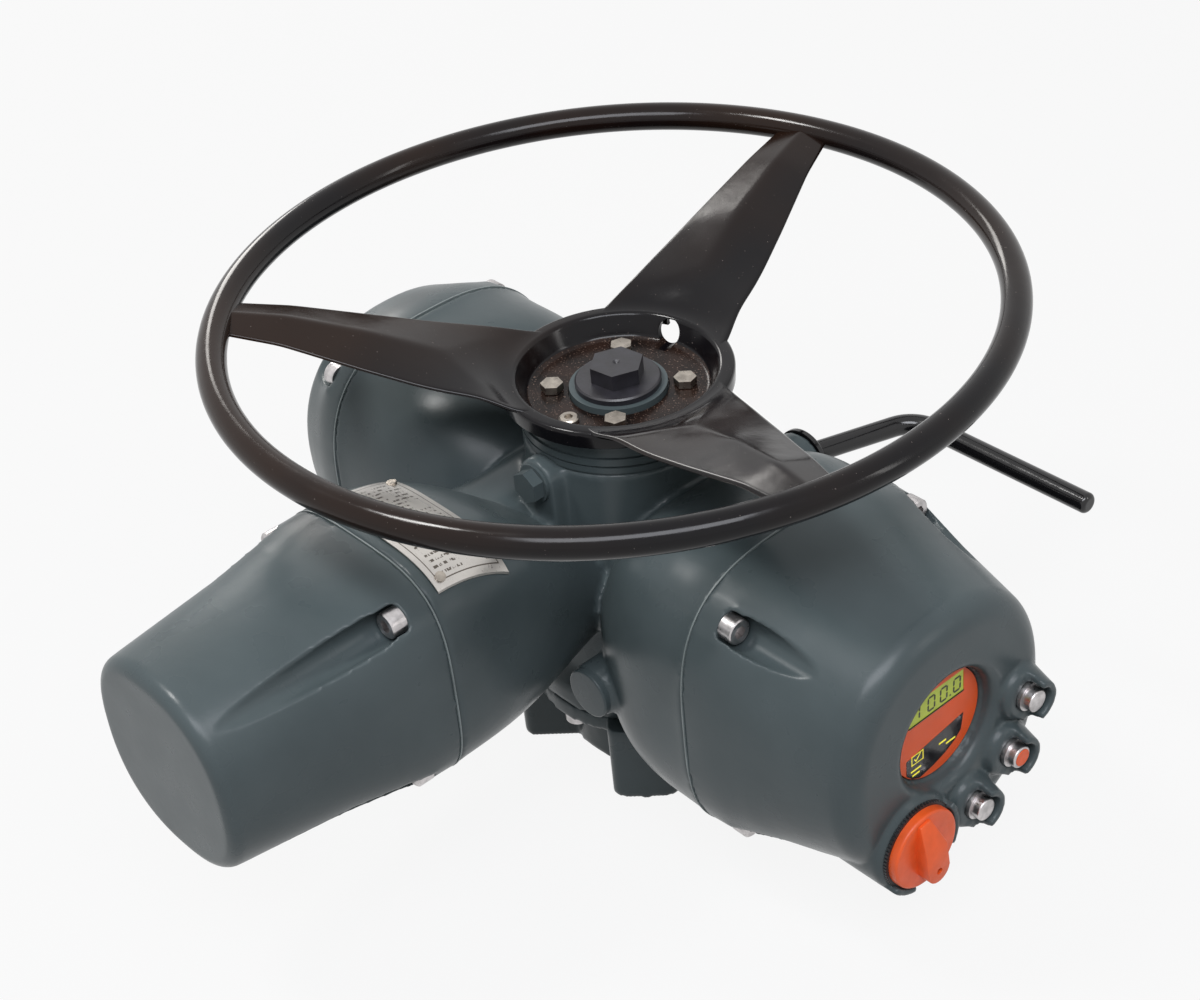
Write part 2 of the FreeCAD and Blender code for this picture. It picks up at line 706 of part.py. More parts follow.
def housing_cavities():
    lower_end = LOWER_BEARING_Z + LOWER_BEARING_H
    spigot_z = COLUMN_TOP - CAP_SPIGOT_DEPTH
    centre = turned([
        (0, BASE_HEIGHT - 1), (SLEEVE_FOOT_R + 2.0, BASE_HEIGHT - 1), (SLEEVE_FOOT_R + 2.0, LOWER_BEARING_Z),
        (LOWER_BEARING_R + FIT, LOWER_BEARING_Z), (LOWER_BEARING_R + FIT, lower_end),
        (UPPER_BEARING_R - 4.0, lower_end),
        (UPPER_BEARING_R - 4.0, UPPER_BEARING_Z), (UPPER_BEARING_R + FIT, UPPER_BEARING_Z),
        (UPPER_BEARING_R + FIT, spigot_z),
        (CAP_SPIGOT_R + FIT, spigot_z), (CAP_SPIGOT_R + FIT, COLUMN_TOP + 1),
        (0, COLUMN_TOP + 1)])
    seat_end = WORM_BEARING_AT + WORM_BEARING_H
    shaft_start = -GEAR_AT + GEAR_FACE - 3.0
    gear_room = cylinder(GEAR_ROOM_R, -GEAR_AT - GEAR_FACE, -GEAR_AT + GEAR_FACE - 2.0)
    worm = [put(gear_room, along_worm()),
            put(cylinder(WORM_BEARING_R + FIT, -seat_end, seat_end), along_worm()),
            put(cylinder(WORM_SHAFT_R + 1.5, shaft_start, seat_end + 2.0), along_worm())]
    lug_x = yoke_lug_span()[1] + 1.5
    lug_y = YOKE_LUG_Y + YOKE_LUG_THICK + 1.0
    yoke_top = yoke_z() + YOKE_THICK + clutch_lift() + 1.5
    yoke = box(0, lug_x, YOKE_LUG_Y - 4.0, lug_y, LEVER_Z - 14.0, yoke_top)
    crank = cylinder(ECCENTRIC + ECCENTRIC_PIN_R + 3.0, YOKE_LUG_Y, CRANK_Y + CRANK_THICK + 1.0)
    lever = cylinder(LEVER_SHAFT_R + LEVER_BUSH_WALL, YOKE_LUG_Y, LEVER_BOSS_END + 1)
    oil = put(cylinder(OIL_THREAD_R + FIT, 30.0, 1 - OIL_PLUG_Y), along_oil_plug())
    side_face = 1 - SIDE_PLUG_Y
    side = put(cylinder(SIDE_THREAD_R + FIT, side_face - SIDE_THREAD_DEPTH, side_face), along_side_plug())
    cuts = [centre, yoke, oil, side, put(crank, along_lever()), put(lever, along_lever())] + worm
    cuts += hollow_arm("motor", GEAR_AT - GEAR_FACE)
    cuts += hollow_arm("control", CONTROL_FLOOR)
    cuts += hollow_arm("terminal", TERMINAL_FLOOR)
    for x, y in entry_places():
        cuts.append(cylinder(ENTRY_R, ENTRY_FACE_Z - 1, ENTRY_BORE_TOP, x, y))
    for angle in base_screw_angles():
        x, y = polar(BASE_SCREW_RADIUS, angle)
        cuts.append(cylinder(SCREW_R + FIT, BASE_HEIGHT - 1, BASE_HEIGHT + FLANGE_THICK - 1, x, y))
    return cuts


def gear_housing():
    return housing_outside().cut(housing_cavities())


def column_cap():
    spigot_z = COLUMN_TOP - CAP_SPIGOT_DEPTH
    groove_z = COLUMN_TOP + CAP_HEIGHT * 0.45
    bore = DRIVE_TUBE_R + FIT
    seal_z = CAP_TOP - SEAL_HEIGHT
    pin_x, pin_y = polar(GUIDE_PIN_RADIUS, GUIDE_PIN_ANGLE)
    guide_pin = cylinder(GUIDE_PIN_R, WHEEL_TOP + 1.0, spigot_z + 1.0, pin_x, pin_y)
    cap = turned([
        (bore, spigot_z), (CAP_SPIGOT_R, spigot_z), (CAP_SPIGOT_R, COLUMN_TOP), (COLUMN_R - 0.8, COLUMN_TOP),
        (COLUMN_R - 0.8, COLUMN_TOP + 1.2), (COLUMN_R, COLUMN_TOP + 1.2), (COLUMN_R, groove_z),
        (COLUMN_R - 1.2, groove_z), (COLUMN_R - 1.2, groove_z + 1.2), (COLUMN_R, groove_z + 1.2),
        (COLUMN_R, CAP_TOP), (SEAL_R, CAP_TOP), (SEAL_R, seal_z), (bore, seal_z)])
    return cap.fuse(guide_pin)


def shaft_seal():
    return tube(SEAL_R, DRIVE_TUBE_R + FIT, CAP_TOP - SEAL_HEIGHT, CAP_TOP)


def oil_plug():
    hexagon_end = -OIL_PLUG_Y + OIL_WASHER_H + OIL_PLUG_HEAD
    head = hexagon(OIL_PLUG_AF, -OIL_PLUG_Y + OIL_WASHER_H, hexagon_end, turn=30.0)
    shank = cylinder(OIL_THREAD_R, -OIL_PLUG_Y - OIL_THREAD_LENGTH, -OIL_PLUG_Y + OIL_WASHER_H + 1.0)
    return put(fuse(head, shank), along_oil_plug())


def oil_plug_washer():
    washer = tube(OIL_WASHER_R, OIL_THREAD_R + FIT, -OIL_PLUG_Y, -OIL_PLUG_Y + OIL_WASHER_H)
    return put(washer, along_oil_plug())


def side_plug():
    face = -SIDE_PLUG_Y
    head = cylinder(SIDE_PLUG_R, face, face + SIDE_PLUG_HEAD)
    head = head.makeChamfer(0.8, edges_at(head, face + SIDE_PLUG_HEAD))
    shank = cylinder(SIDE_THREAD_R, face - SIDE_THREAD_LENGTH, face + 1.0)
    return put(fuse(head, shank), along_side_plug())


def plate_patch(grow):
    """The strip of space just over the motor arm where the nameplate lies."""
    region = box(PLATE_LEFT, PLATE_RIGHT, 10.0, MOTOR_DIAG + 5.0, PLATE_FROM, PLATE_TO)
    return arm_outside("motor", grow).common(region)


def nameplate():
    plate = plate_patch(PLATE_GAP + PLATE_THICK).cut(arm_outside("motor", PLATE_GAP))
    for x, z in rivet_places():
        plate = plate.cut(put(cylinder(RIVET_R, -20.0, 20.0), rivet_frame(x, z)))
    return put(plate, along_motor())


def rivet_places():
    return [(x, z) for x in (PLATE_LEFT + RIVET_INSET, PLATE_RIGHT - RIVET_INSET)
            for z in (PLATE_FROM + RIVET_INSET, PLATE_TO - RIVET_INSET)]


def rivet_frame(x, z):
    """The spot on the arm's skin under a rivet, with Z along the skin's normal."""
    power = 1.0 / (0.5 - math.log2(MOTOR_DIAG / MOTOR_HALF))
    y = (MOTOR_HALF ** power - abs(x) ** power) ** (1.0 / power)
    normal = vec(math.copysign(abs(x) ** (power - 1.0), x), y ** (power - 1.0), 0).normalize()
    skin = arm_outside("motor")
    line = Part.LineSegment(vec(x, y, z) - normal * 30.0, vec(x, y, z) + normal * 30.0).toShape()
    hit = skin.common(line)
    far = max((v.Point for v in hit.Vertexes), key=lambda p: p.dot(normal))
    return frame(far, (normal.x, normal.y, normal.z), vec(0, 0, 1))


def nameplate_rivets():
    """Round heads that lie on the plate, with shanks through its holes."""
    top = PLATE_GAP + PLATE_THICK
    skin, plate_top = arm_outside("motor"), arm_outside("motor", top)
    rivets = []
    for x, z in rivet_places():
        place = rivet_frame(x, z)
        shank = put(cylinder(RIVET_R - FIT, -1.0, top + 0.6), place).cut(skin)
        head = put(cylinder(RIVET_R + RIVET_RIM, -1.0, top + RIVET_RISE), place).cut(plate_top)
        rivets.append(put(shank.fuse(head), along_motor()))
    return rivets


# Output drive

def sector(inner, outer, z0, z1, middle, width):
    """A ring segment centred on an angle."""
    ring = tube(outer, inner, z0, z1)
    reach = outer * 2.0
    rays = [polar(reach, middle + width * (k / 4.0 - 0.5)) for k in range(5)]
    return ring.common(prism([(0, 0)] + rays, z0 - 1, z1 + 1))


def dog_angles():
    return [360.0 / DOG_COUNT * k for k in range(DOG_COUNT)]


def spline_keys(reach, half_width, z0, z1):
    keys = []
    for angle in dog_angles():
        key = box(5.0, reach, -half_width, half_width, z0, z1)
        key.rotate(ORIGIN, UP, angle)
        keys.append(key)
    return keys


def drive_sleeve():
    bearing_end = LOWER_BEARING_Z + LOWER_BEARING_H
    body = turned([
        (SLEEVE_BORE_R, SLEEVE_BOTTOM), (SLEEVE_FOOT_R, SLEEVE_BOTTOM), (SLEEVE_FOOT_R, LOWER_BEARING_Z),
        (SLEEVE_SEAT_R, LOWER_BEARING_Z), (SLEEVE_SEAT_R, bearing_end), (SLEEVE_R, bearing_end),
        (SLEEVE_R, CLUTCH_BOTTOM - 0.5), (SLEEVE_SPLINE_R, CLUTCH_BOTTOM - 0.5),
        (SLEEVE_SPLINE_R, SLEEVE_TOP), (SLEEVE_BORE_R, SLEEVE_TOP)])
    low = CLUTCH_BOTTOM - 0.5
    ring = tube(SLEEVE_SPLINE_R + SPLINE_HEIGHT, SLEEVE_BORE_R, low, SLEEVE_TOP)
    blades = spline_keys(SLEEVE_SPLINE_R + SPLINE_HEIGHT + 1.0, SPLINE_HALF, low, SLEEVE_TOP)
    keys = ring.common(Part.makeCompound(blades))
    seat = cylinder(BUSH_R + FIT, SLEEVE_BOTTOM - 1, BUSH_BOTTOM + BUSH_LENGTH)
    return fuse(body, keys).cut(seat)


def drive_bush():
    bush = tube(BUSH_R, BUSH_BORE_R, BUSH_BOTTOM, BUSH_BOTTOM + BUSH_LENGTH)
    key = box(0, BUSH_BORE_R + BUSH_KEY_DEPTH, -BUSH_KEY_WIDTH / 2.0, BUSH_KEY_WIDTH / 2.0,
              BUSH_BOTTOM - 1, BUSH_BOTTOM + BUSH_LENGTH + 1)
    return bush.cut(key)


def bearing(inner, outer, z0, height):
    """A ball bearing in the row: two rings and the balls between them."""
    wall = (outer - inner) * 0.28
    middle = (inner + outer) / 2.0
    ball_r = (outer - inner) * 0.27
    centre_z = z0 + height / 2.0
    track = Part.makeTorus(middle, ball_r + 0.02, vec(0, 0, centre_z))
    rings = [tube(inner + wall, inner, z0, z0 + height).cut(track),
             tube(outer, outer - wall, z0, z0 + height).cut(track)]
    count = int(math.pi * middle / ball_r * 0.8)
    balls = []
    for k in range(count):
        x, y = polar(middle, 360.0 * k / count)
        balls.append(Part.makeSphere(ball_r, vec(x, y, centre_z)))
    return rings + balls


def gear_outline(teeth, module, share, first, root_drop=1.25):
    """The outline of a spur gear with straight flanks; a tooth is centred on the first angle."""
    pitch_r = module * teeth / 2.0
    pitch = 2.0 * math.pi / teeth
    flank = module * math.tan(math.radians(20.0))
    spots = ((pitch_r - root_drop * module, share * math.pi * module / 2.0 + root_drop * flank),
             (pitch_r + module, share * math.pi * module / 2.0 - flank))
    points = []
    for k in range(teeth):
        centre = math.radians(first) + k * pitch
        (root_r, root_half), (tip_r, tip_half) = spots
        for r, half in ((root_r, -root_half), (tip_r, -tip_half), (tip_r, tip_half), (root_r, root_half)):
            a = centre + half / r
            points.append((r * math.cos(a), r * math.sin(a)))
    return points


def twisted(points, z0, z1, twist):
    """A flat outline raised from z0 to z1 while it turns by the twist angle."""
    wires = []
    for z, turn in ((z0, -twist / 2.0), (z1, twist / 2.0)):
        rotation = FreeCAD.Rotation(UP, turn)
        corners = [rotation.multVec(vec(x, y, z)) for x, y in points]
        wires.append(Part.makePolygon(corners + corners[:1]))
    return Part.makeLoft(wires, True, True)


def worm_wheel():
    half = WHEEL_FACE / 2.0
    outline = gear_outline(WHEEL_TEETH, WORM_MODULE, WORM_THREAD_SHARE, 180.0 + 180.0 / WHEEL_TEETH)
    lead = WORM_MODULE / (2.0 * WORM_PITCH_R)
    twist = math.degrees(WHEEL_FACE * lead / (WORM_MODULE * WHEEL_TEETH / 2.0))
    blank = twisted(outline, MOTOR_Z - half, MOTOR_Z + half, twist)
    return blank.cut(cylinder(SLEEVE_R + FIT / 2.0, MOTOR_Z - half - 1, MOTOR_Z + half + 1))


def worm_shaft():
    pitch = math.pi * WORM_MODULE
    root_r = WORM_PITCH_R - 1.25 * WORM_MODULE
    turns = int(WORM_LENGTH / pitch / 2.0)
    start = -(turns + 0.5) * pitch
    helix = Part.makeHelix(pitch, 2.0 * turns * pitch, root_r)
    helix.translate(vec(0, 0, start))
    flank = math.tan(math.radians(20.0))
    half = WORM_THREAD_SHARE * pitch / 2.0
    low, high = root_r - 0.3, WORM_PITCH_R + WORM_MODULE
    wide = half + (WORM_PITCH_R - low) * flank
    thin = half - WORM_MODULE * flank
    corners = [vec(low, 0, start - wide), vec(high, 0, start - thin), vec(high, 0, start + thin),
               vec(low, 0, start + wide)]
    profile = Part.makePolygon(corners + corners[:1])
    thread = Part.Wire(helix.Edges).makePipeShell([profile], True, True)
    seat_end = WORM_BEARING_AT + WORM_BEARING_H
    shaft = fuse(cylinder(WORM_SHAFT_R, -GEAR_AT - GEAR_FACE, seat_end + 1.0),
                 cylinder(root_r, 1.0 - WORM_BEARING_AT, WORM_BEARING_AT - 1.0))
    return put(shaft.fuse(thread), along_worm())


def worm_gear():
    outline = gear_outline(GEAR_TEETH, SPUR_PITCH_MODULE, SPUR_TOOTH_SHARE, 180.0)
    start = -GEAR_AT - GEAR_FACE / 2.0
    gear = prism(outline, start, start + GEAR_FACE)
    return put(gear.cut(cylinder(WORM_SHAFT_R + FIT / 2.0, start - 1, start + GEAR_FACE + 1)), along_worm())


def motor_pinion():
    outline = gear_outline(PINION_TEETH, SPUR_PITCH_MODULE, SPUR_TOOTH_SHARE, 180.0 + 180.0 / PINION_TEETH)
    start = GEAR_AT - GEAR_FACE / 2.0
    pinion = prism(outline, start, start + GEAR_FACE)
    bore = cylinder(MOTOR_SHAFT_R + FIT / 2.0, start - 1, start + GEAR_FACE + 1)
    return put(pinion.cut(bore), along_motor())


def worm_bearings():
    seats = (-WORM_BEARING_AT - WORM_BEARING_H, WORM_BEARING_AT)
    return [put(tube(WORM_BEARING_R, WORM_SHAFT_R + FIT, z, z + WORM_BEARING_H), along_worm())
            for z in seats]


# Motor

def motor_shield():
    shield = tube(MOTOR_BORE_R - FIT, MOTOR_BEARING_R, SHIELD_AT, SHIELD_AT + SHIELD_THICK)
    gear_room = cylinder(WORM_SHAFT_R + 1.5, SHIELD_AT - 1, SHIELD_AT + 3.0, WORM_X, 0)
    return put(shield.cut(gear_room), along_motor())


def motor_bearings():
    front = tube(MOTOR_BEARING_R, MOTOR_SHAFT_R + FIT, SHIELD_AT, SHIELD_AT + SHIELD_THICK)
    rear = tube(REAR_BEARING_R, SHAFT_END_R + FIT, BRACKET_Z, BRACKET_Z + SHIELD_THICK)
    return [put(front, along_motor()), put(rear, along_motor())]


def motor_bracket():
    """The rear bearing bracket with the four tie rods that run to the end shield."""
    bracket = tube(BRACKET_R, REAR_BEARING_R, BRACKET_Z, BRACKET_Z + SHIELD_THICK - 3.0)
    rods = [cylinder(TIE_R, SHIELD_AT + SHIELD_THICK, BRACKET_Z + SHIELD_THICK, *polar(TIE_RADIUS, a))
            for a in foot_angles()]
    return put(fuse(bracket, *rods), along_motor())


def motor_stator():
    end = STATOR_START + STATOR_LENGTH
    stack = tube(STATOR_R, STATOR_BORE_R, STATOR_START, end)
    holes = [cylinder(TIE_R + FIT, STATOR_START - 1, end + 1, *polar(TIE_RADIUS, a)) for a in foot_angles()]
    return put(stack.cut(holes), along_motor())


def motor_windings():
    coils = []
    inner = STATOR_BORE_R + WINDING_GAP
    for z in (STATOR_START - WINDING_LENGTH, STATOR_START + STATOR_LENGTH):
        coil = tube(inner + WINDING_WALL, inner, z, z + WINDING_LENGTH)
        coils.append(put(coil, along_motor()))
    return coils


def motor_shaft():
    rotor_end = STATOR_START + STATOR_LENGTH
    return put(turned([
        (0, GEAR_AT - GEAR_FACE), (MOTOR_SHAFT_R, GEAR_AT - GEAR_FACE), (MOTOR_SHAFT_R, rotor_end + 8.0),
        (SHAFT_END_R, rotor_end + 8.0), (SHAFT_END_R, BRACKET_Z + SHIELD_THICK + 2.0),
        (0, BRACKET_Z + SHIELD_THICK + 2.0)]), along_motor())


def motor_rotor():
    end = STATOR_START + STATOR_LENGTH
    return put(tube(ROTOR_R, MOTOR_SHAFT_R + FIT / 2.0, STATOR_START, end), along_motor())


# Hand drive, clutch and lever

def hand_drive_shaft():
    thread_z = DRIVE_BOSS_TOP - PLUG_THREAD_LENGTH - 1.0
    body = turned([
        (DRIVE_BORE_R, DRIVE_TUBE_BOTTOM), (DRIVE_TUBE_R, DRIVE_TUBE_BOTTOM), (DRIVE_TUBE_R, DRIVE_FLANGE_Z),
        (DRIVE_FLANGE_R, DRIVE_FLANGE_Z), (DRIVE_FLANGE_R, HUB_PLATE_Z), (DRIVE_BOSS_R, HUB_PLATE_Z),
        (DRIVE_BOSS_R, DRIVE_BOSS_TOP), (PLUG_THREAD_R, DRIVE_BOSS_TOP), (PLUG_THREAD_R, SLEEVE_TOP + 1.0),
        (DRIVE_BORE_R, SLEEVE_TOP + 1.0)])
    slots = [sector(DRIVE_BORE_R - 1, DRIVE_TUBE_R + 1, DRIVE_TUBE_BOTTOM - 1,
                    DRIVE_TUBE_BOTTOM + DOG_HEIGHT + 1.5, a, DOG_ANGLE + 8.0) for a in dog_angles()]
    holes = [cylinder(HUB_BOLT_R + FIT, DRIVE_FLANGE_Z + 0.8, HUB_PLATE_Z + 1, *polar(HUB_BOLT_RADIUS, a))
             for a in HUB_BOLT_ANGLES]
    holes.append(cylinder(HUB_BOLT_R + FIT, DRIVE_FLANGE_Z + 0.8, HUB_PLATE_Z + 1,
                          *polar(HUB_SOCKET_RADIUS, HUB_SOCKET_ANGLE)))
    return body.cut(slots + holes)


def stem_plug():
    thread = cylinder(PLUG_THREAD_R - FIT, DRIVE_BOSS_TOP - PLUG_THREAD_LENGTH + 4.0, DRIVE_BOSS_TOP)
    flange = cylinder(PLUG_FLANGE_R, DRIVE_BOSS_TOP, DRIVE_BOSS_TOP + PLUG_FLANGE_THICK)
    flange = flange.makeChamfer(0.8, edges_at(flange, DRIVE_BOSS_TOP + PLUG_FLANGE_THICK))
    hex_z = DRIVE_BOSS_TOP + PLUG_FLANGE_THICK
    head = hexagon(PLUG_HEX_AF, hex_z - 0.5, hex_z + PLUG_HEX_H, turn=8.0)
    dimple_z = hex_z + PLUG_HEX_H - PLUG_DIMPLE_DEPTH
    dimple = Part.makeCone(0.2, PLUG_DIMPLE_R, PLUG_DIMPLE_DEPTH, vec(0, 0, dimple_z))
    return fuse(thread, flange, head).cut(dimple)


def clutch_ring():
    middle = CLUTCH_BOTTOM + CLUTCH_HEIGHT / 2.0
    half = CLUTCH_GROOVE_H / 2.0
    top = CLUTCH_BOTTOM + CLUTCH_HEIGHT
    bore = SLEEVE_SPLINE_R + 2.0 * FIT
    ring = turned([
        (bore, CLUTCH_BOTTOM), (CLUTCH_R, CLUTCH_BOTTOM), (CLUTCH_R, middle - half),
        (CLUTCH_GROOVE_R, middle - half), (CLUTCH_GROOVE_R, middle + half), (CLUTCH_R, middle + half),
        (CLUTCH_R, top), (bore, top)])
    dogs = [sector(DOG_INNER_R, DOG_OUTER_R, top - 1.0, top + DOG_HEIGHT, a, DOG_ANGLE)
            for a in dog_angles()]
    keys = spline_keys(SLEEVE_SPLINE_R + SPLINE_HEIGHT + 0.2, SPLINE_HALF + 0.2, CLUTCH_BOTTOM - 1, top + 1)
    return fuse(ring, *dogs).cut(keys)


def yoke_lug_span():
    """The lug's extent along X; the slot in it is open at the far end."""
    start = LEVER_X - ECCENTRIC - 7.5
    return start, start + YOKE_LUG_WIDTH


def shift_yoke():
    z0, z1 = yoke_z(), yoke_z() + YOKE_THICK
    lug_x0, lug_x1 = yoke_lug_span()
    lug_y1 = YOKE_LUG_Y + YOKE_LUG_THICK
    fork = sector(CLUTCH_GROOVE_R + 0.3, YOKE_REACH, z0, z1, 15.0, 150.0)
    plate = box(CLUTCH_GROOVE_R + 4.0, lug_x1, YOKE_LUG_Y - 3.0, lug_y1, z0, z1)
    lug = box(lug_x0, lug_x1, YOKE_LUG_Y, lug_y1, LEVER_Z - ECCENTRIC_PIN_R - 4.0, z0 + 1.0)
    slot_r = ECCENTRIC_PIN_R + SEAT_GAP
    pin_x = LEVER_X - ECCENTRIC
    slot = box(pin_x - slot_r, lug_x1 + 1, YOKE_LUG_Y - 1, lug_y1 + 1, LEVER_Z - slot_r, LEVER_Z + slot_r)
    notch = cylinder(GUIDE_PIN_R + FIT, z0 - 1, z1 + 1, *polar(GUIDE_PIN_RADIUS, GUIDE_PIN_ANGLE))
    return fuse(fork, plate, lug).cut([slot, notch])


def lever_shaft():
    crank_end = CRANK_Y + CRANK_THICK
    shaft = cylinder(LEVER_SHAFT_R, CRANK_Y, LEVER_BOSS_END + SEAT_GAP + LEVER_SPIGOT)
    half = ECCENTRIC_PIN_R + 2.0
    web = fuse(cylinder(LEVER_SHAFT_R, CRANK_Y, crank_end), cylinder(half, CRANK_Y, crank_end, ECCENTRIC),
               box(0, ECCENTRIC, -half, half, CRANK_Y, crank_end))
    pin = cylinder(ECCENTRIC_PIN_R, YOKE_LUG_Y - 0.5, CRANK_Y + 1.0, ECCENTRIC)
    return put(fuse(shaft, web, pin), along_lever())


def lever_bush():
    start = CRANK_Y + CRANK_THICK + 1.0
    bush = tube(LEVER_SHAFT_R + LEVER_BUSH_WALL, LEVER_SHAFT_R + FIT, start, LEVER_BOSS_END)
    return put(bush, along_lever())


def lever_collar():
    start = LEVER_BOSS_END + SEAT_GAP
    collar = cylinder(LEVER_COLLAR_R, start, start + LEVER_COLLAR_H)
    collar = collar.makeFillet(1.5, edges_at(collar, start + LEVER_COLLAR_H))
    collar = collar.cut(cylinder(LEVER_SHAFT_R + FIT / 2.0, start - 1, start + LEVER_SPIGOT))
    return put(collar, along_lever()).cut(lever_rod())


def lever_rod():
    start_y = LEVER_BOSS_END + SEAT_GAP + LEVER_COLLAR_H + 0.4
    tilt = math.radians(LEVER_TILT)
    leg = vec(math.sin(tilt), math.cos(tilt), 0)
    corner = vec(LEVER_X, start_y, LEVER_Z) + leg * ((LEVER_CORNER_Y - start_y) / leg.y)
    turn = math.radians(90.0 - LEVER_TILT)
    cut = LEVER_BEND_R * math.tan(turn / 2.0)
    a = corner - leg * cut
    b = corner + vec(cut, 0, 0)
    inward = (vec(1, 0, 0) - leg).normalize()
    middle = corner + inward * (LEVER_BEND_R / math.cos(turn / 2.0) - LEVER_BEND_R)
    start = vec(LEVER_X, start_y, LEVER_Z)
    end = vec(LEVER_END_X, LEVER_CORNER_Y, LEVER_Z)
    path = Part.Wire([Part.LineSegment(start, a).toShape(), Part.Arc(a, middle, b).toShape(),
                      Part.LineSegment(b, end).toShape()])
    ring = Part.Wire([Part.Circle(start, leg, LEVER_ROD_R).toShape()])
    rod = path.makePipeShell([ring], True, False)
    tip = [e for e in rod.Edges if abs(e.CenterOfMass.x - LEVER_END_X) < 0.01 and len(e.Vertexes) == 1]
    return rod.makeFillet(2.5, tip)


# Handwheel

def rim_torus(radius):
    return Part.makeTorus(RIM_R, radius, vec(0, 0, RIM_Z))


def hub_dish():
    top = HUB_LIP_Z
    low = HUB_PLATE_Z
    dish = turned([
        (DRIVE_BOSS_R + 0.5, low), (HUB_FLOOR_R + 1.5, low), (HUB_LIP_R - 0.5, top - 3.5),
        (HUB_LIP_R + 2.0, top - SHEET), (HUB_SKIRT_R - 1.5, top - SHEET - 0.5),
        (HUB_SKIRT_R - SHEET, top - 9.0), (HUB_SKIRT_R, top - 9.0), (HUB_SKIRT_R + 0.3, top - 1.5),
        (HUB_SKIRT_R - 1.5, top), (HUB_LIP_R + 0.5, top),
        (HUB_LIP_R - 3.0, top - 3.0), (HUB_FLOOR_R - 0.5, HUB_TOP), (DRIVE_BOSS_R + 0.5, HUB_TOP)])
    return dish


def spoke():
    """One pressed spoke along +X: a roof section that flattens and widens towards the hub."""
    sections = []
    for reach, half, edge_z, ridge_z in SPOKE_SECTIONS:
        upper = [(-half, edge_z), (0, ridge_z), (half, edge_z)]
        lower = [(y, z - SHEET) for y, z in reversed(upper)]
        corners = [vec(reach, y, z) for y, z in upper + lower]
        sections.append(Part.makePolygon(corners + corners[:1]))
    return Part.makeLoft(sections, True, True)


def handwheel_spider():
    dish = hub_dish()
    core = cylinder(HUB_SKIRT_R - 1.0, HUB_PLATE_Z - 5.0, RIM_Z)
    blades = []
    for angle in SPOKE_ANGLES:
        blade = spoke().cut(rim_torus(RIM_TUBE_R)).cut(core)
        blade = max(blade.Solids, key=lambda s: s.Volume)
        blade.rotate(ORIGIN, UP, angle)
        blades.append(blade)
    spider = fuse(dish, *blades)
    holes = [cylinder(HUB_BOLT_R + 0.2, HUB_PLATE_Z - 1, HUB_TOP + 1, *polar(HUB_BOLT_RADIUS, a))
             for a in HUB_BOLT_ANGLES]
    holes.append(cylinder(HUB_BOLT_R + 0.2, HUB_PLATE_Z - 1, HUB_TOP + 1,
                          *polar(HUB_SOCKET_RADIUS, HUB_SOCKET_ANGLE)))
    window = put(cylinder(HUB_WINDOW_R, HUB_FLOOR_R - 6.0, HUB_SKIRT_R + 8.0),
                 frame(vec(0, 0, HUB_WINDOW_Z), (*polar(1.0, HUB_WINDOW_ANGLE), 0)))
    return spider.cut(holes + [window])


def hub_bolts():
    bolts = []
    for angle in HUB_BOLT_ANGLES:
        x, y = polar(HUB_BOLT_RADIUS, angle)
        head = hexagon(HUB_BOLT_AF, HUB_TOP, HUB_TOP + HUB_BOLT_HEAD_H, x, y, angle)
        bolts.append(fuse(head, cylinder(HUB_BOLT_R, DRIVE_FLANGE_Z + 1.0, HUB_TOP + 1, x, y)))
    return bolts + [hub_lock_screw()]


def hub_lock_screw():
    x, y = polar(HUB_SOCKET_RADIUS, HUB_SOCKET_ANGLE)
    top = HUB_TOP + LOCK_HEAD_H
    head = cylinder(LOCK_HEAD_R, HUB_TOP, top, x, y)
    head = head.makeChamfer(0.8, edges_at(head, top))
    shank = cylinder(HUB_BOLT_R, DRIVE_FLANGE_Z + 1.0, HUB_TOP + 1, x, y)
    return fuse(head, shank).cut(hexagon(LOCK_SOCKET_AF, HUB_TOP + 0.8, top + 0.5, x, y))


# Control panel, in the control arm's frame

def from_window(radius, angle):
    x, y = polar(radius, angle)
    return x, y + PANEL_RISE


def button_places():
    return [polar(BUTTON_RADIUS, a) for a in BUTTON_ANGLES]


def window_recess():
    """The recess of the window, with a lip that is rounded outwards."""
    lip_r = WINDOW_R + WINDOW_LIP
    lip_z = CONTROL_END - WINDOW_LIP
    lip = cylinder(lip_r, lip_z, CONTROL_END + 1).cut(Part.makeTorus(lip_r, WINDOW_LIP, vec(0, 0, lip_z)))
    pieces = [lip, cylinder(WINDOW_R, WINDOW_LEDGE, CONTROL_END + 1),
              cylinder(WINDOW_HOLE_R, CONTROL_END - PANEL_ROOT, CONTROL_END)]
    for piece in pieces:
        piece.translate(vec(0, PANEL_RISE, 0))
    return pieces


def button_boss(x, y):
    """A round dome that carries a button; its far half rises on as a hood."""
    height = HOOD_CUT - CONTROL_END
    hood_height = BUTTON_HOOD - CONTROL_END
    dome_r = BUTTON_BOSS_R + (HOOD_R - BUTTON_BOSS_R) * height / hood_height
    dome = Part.makeCone(BUTTON_BOSS_R, dome_r, height, vec(x, y, CONTROL_END))
    dome = dome.makeFillet(HOOD_EDGE, edges_at(dome, HOOD_CUT))
    root = cylinder(BUTTON_BOSS_R, CONTROL_END - BUTTON_BOSS_DEPTH, CONTROL_END, x, y)
    hood = Part.makeCone(BUTTON_BOSS_R, HOOD_R, hood_height, vec(x, y, CONTROL_END))
    reach = BUTTON_BOSS_R + 1.0
    hood = hood.cut(box(x - reach, x + 1.0, y - reach, y + reach, CONTROL_END - 1, BUTTON_HOOD + 1))
    boss = fuse(root, dome, hood)
    return boss.cut(cylinder(BUTTON_SLEEVE_R + 0.6, HOOD_CUT, BUTTON_HOOD + 1, x, y))


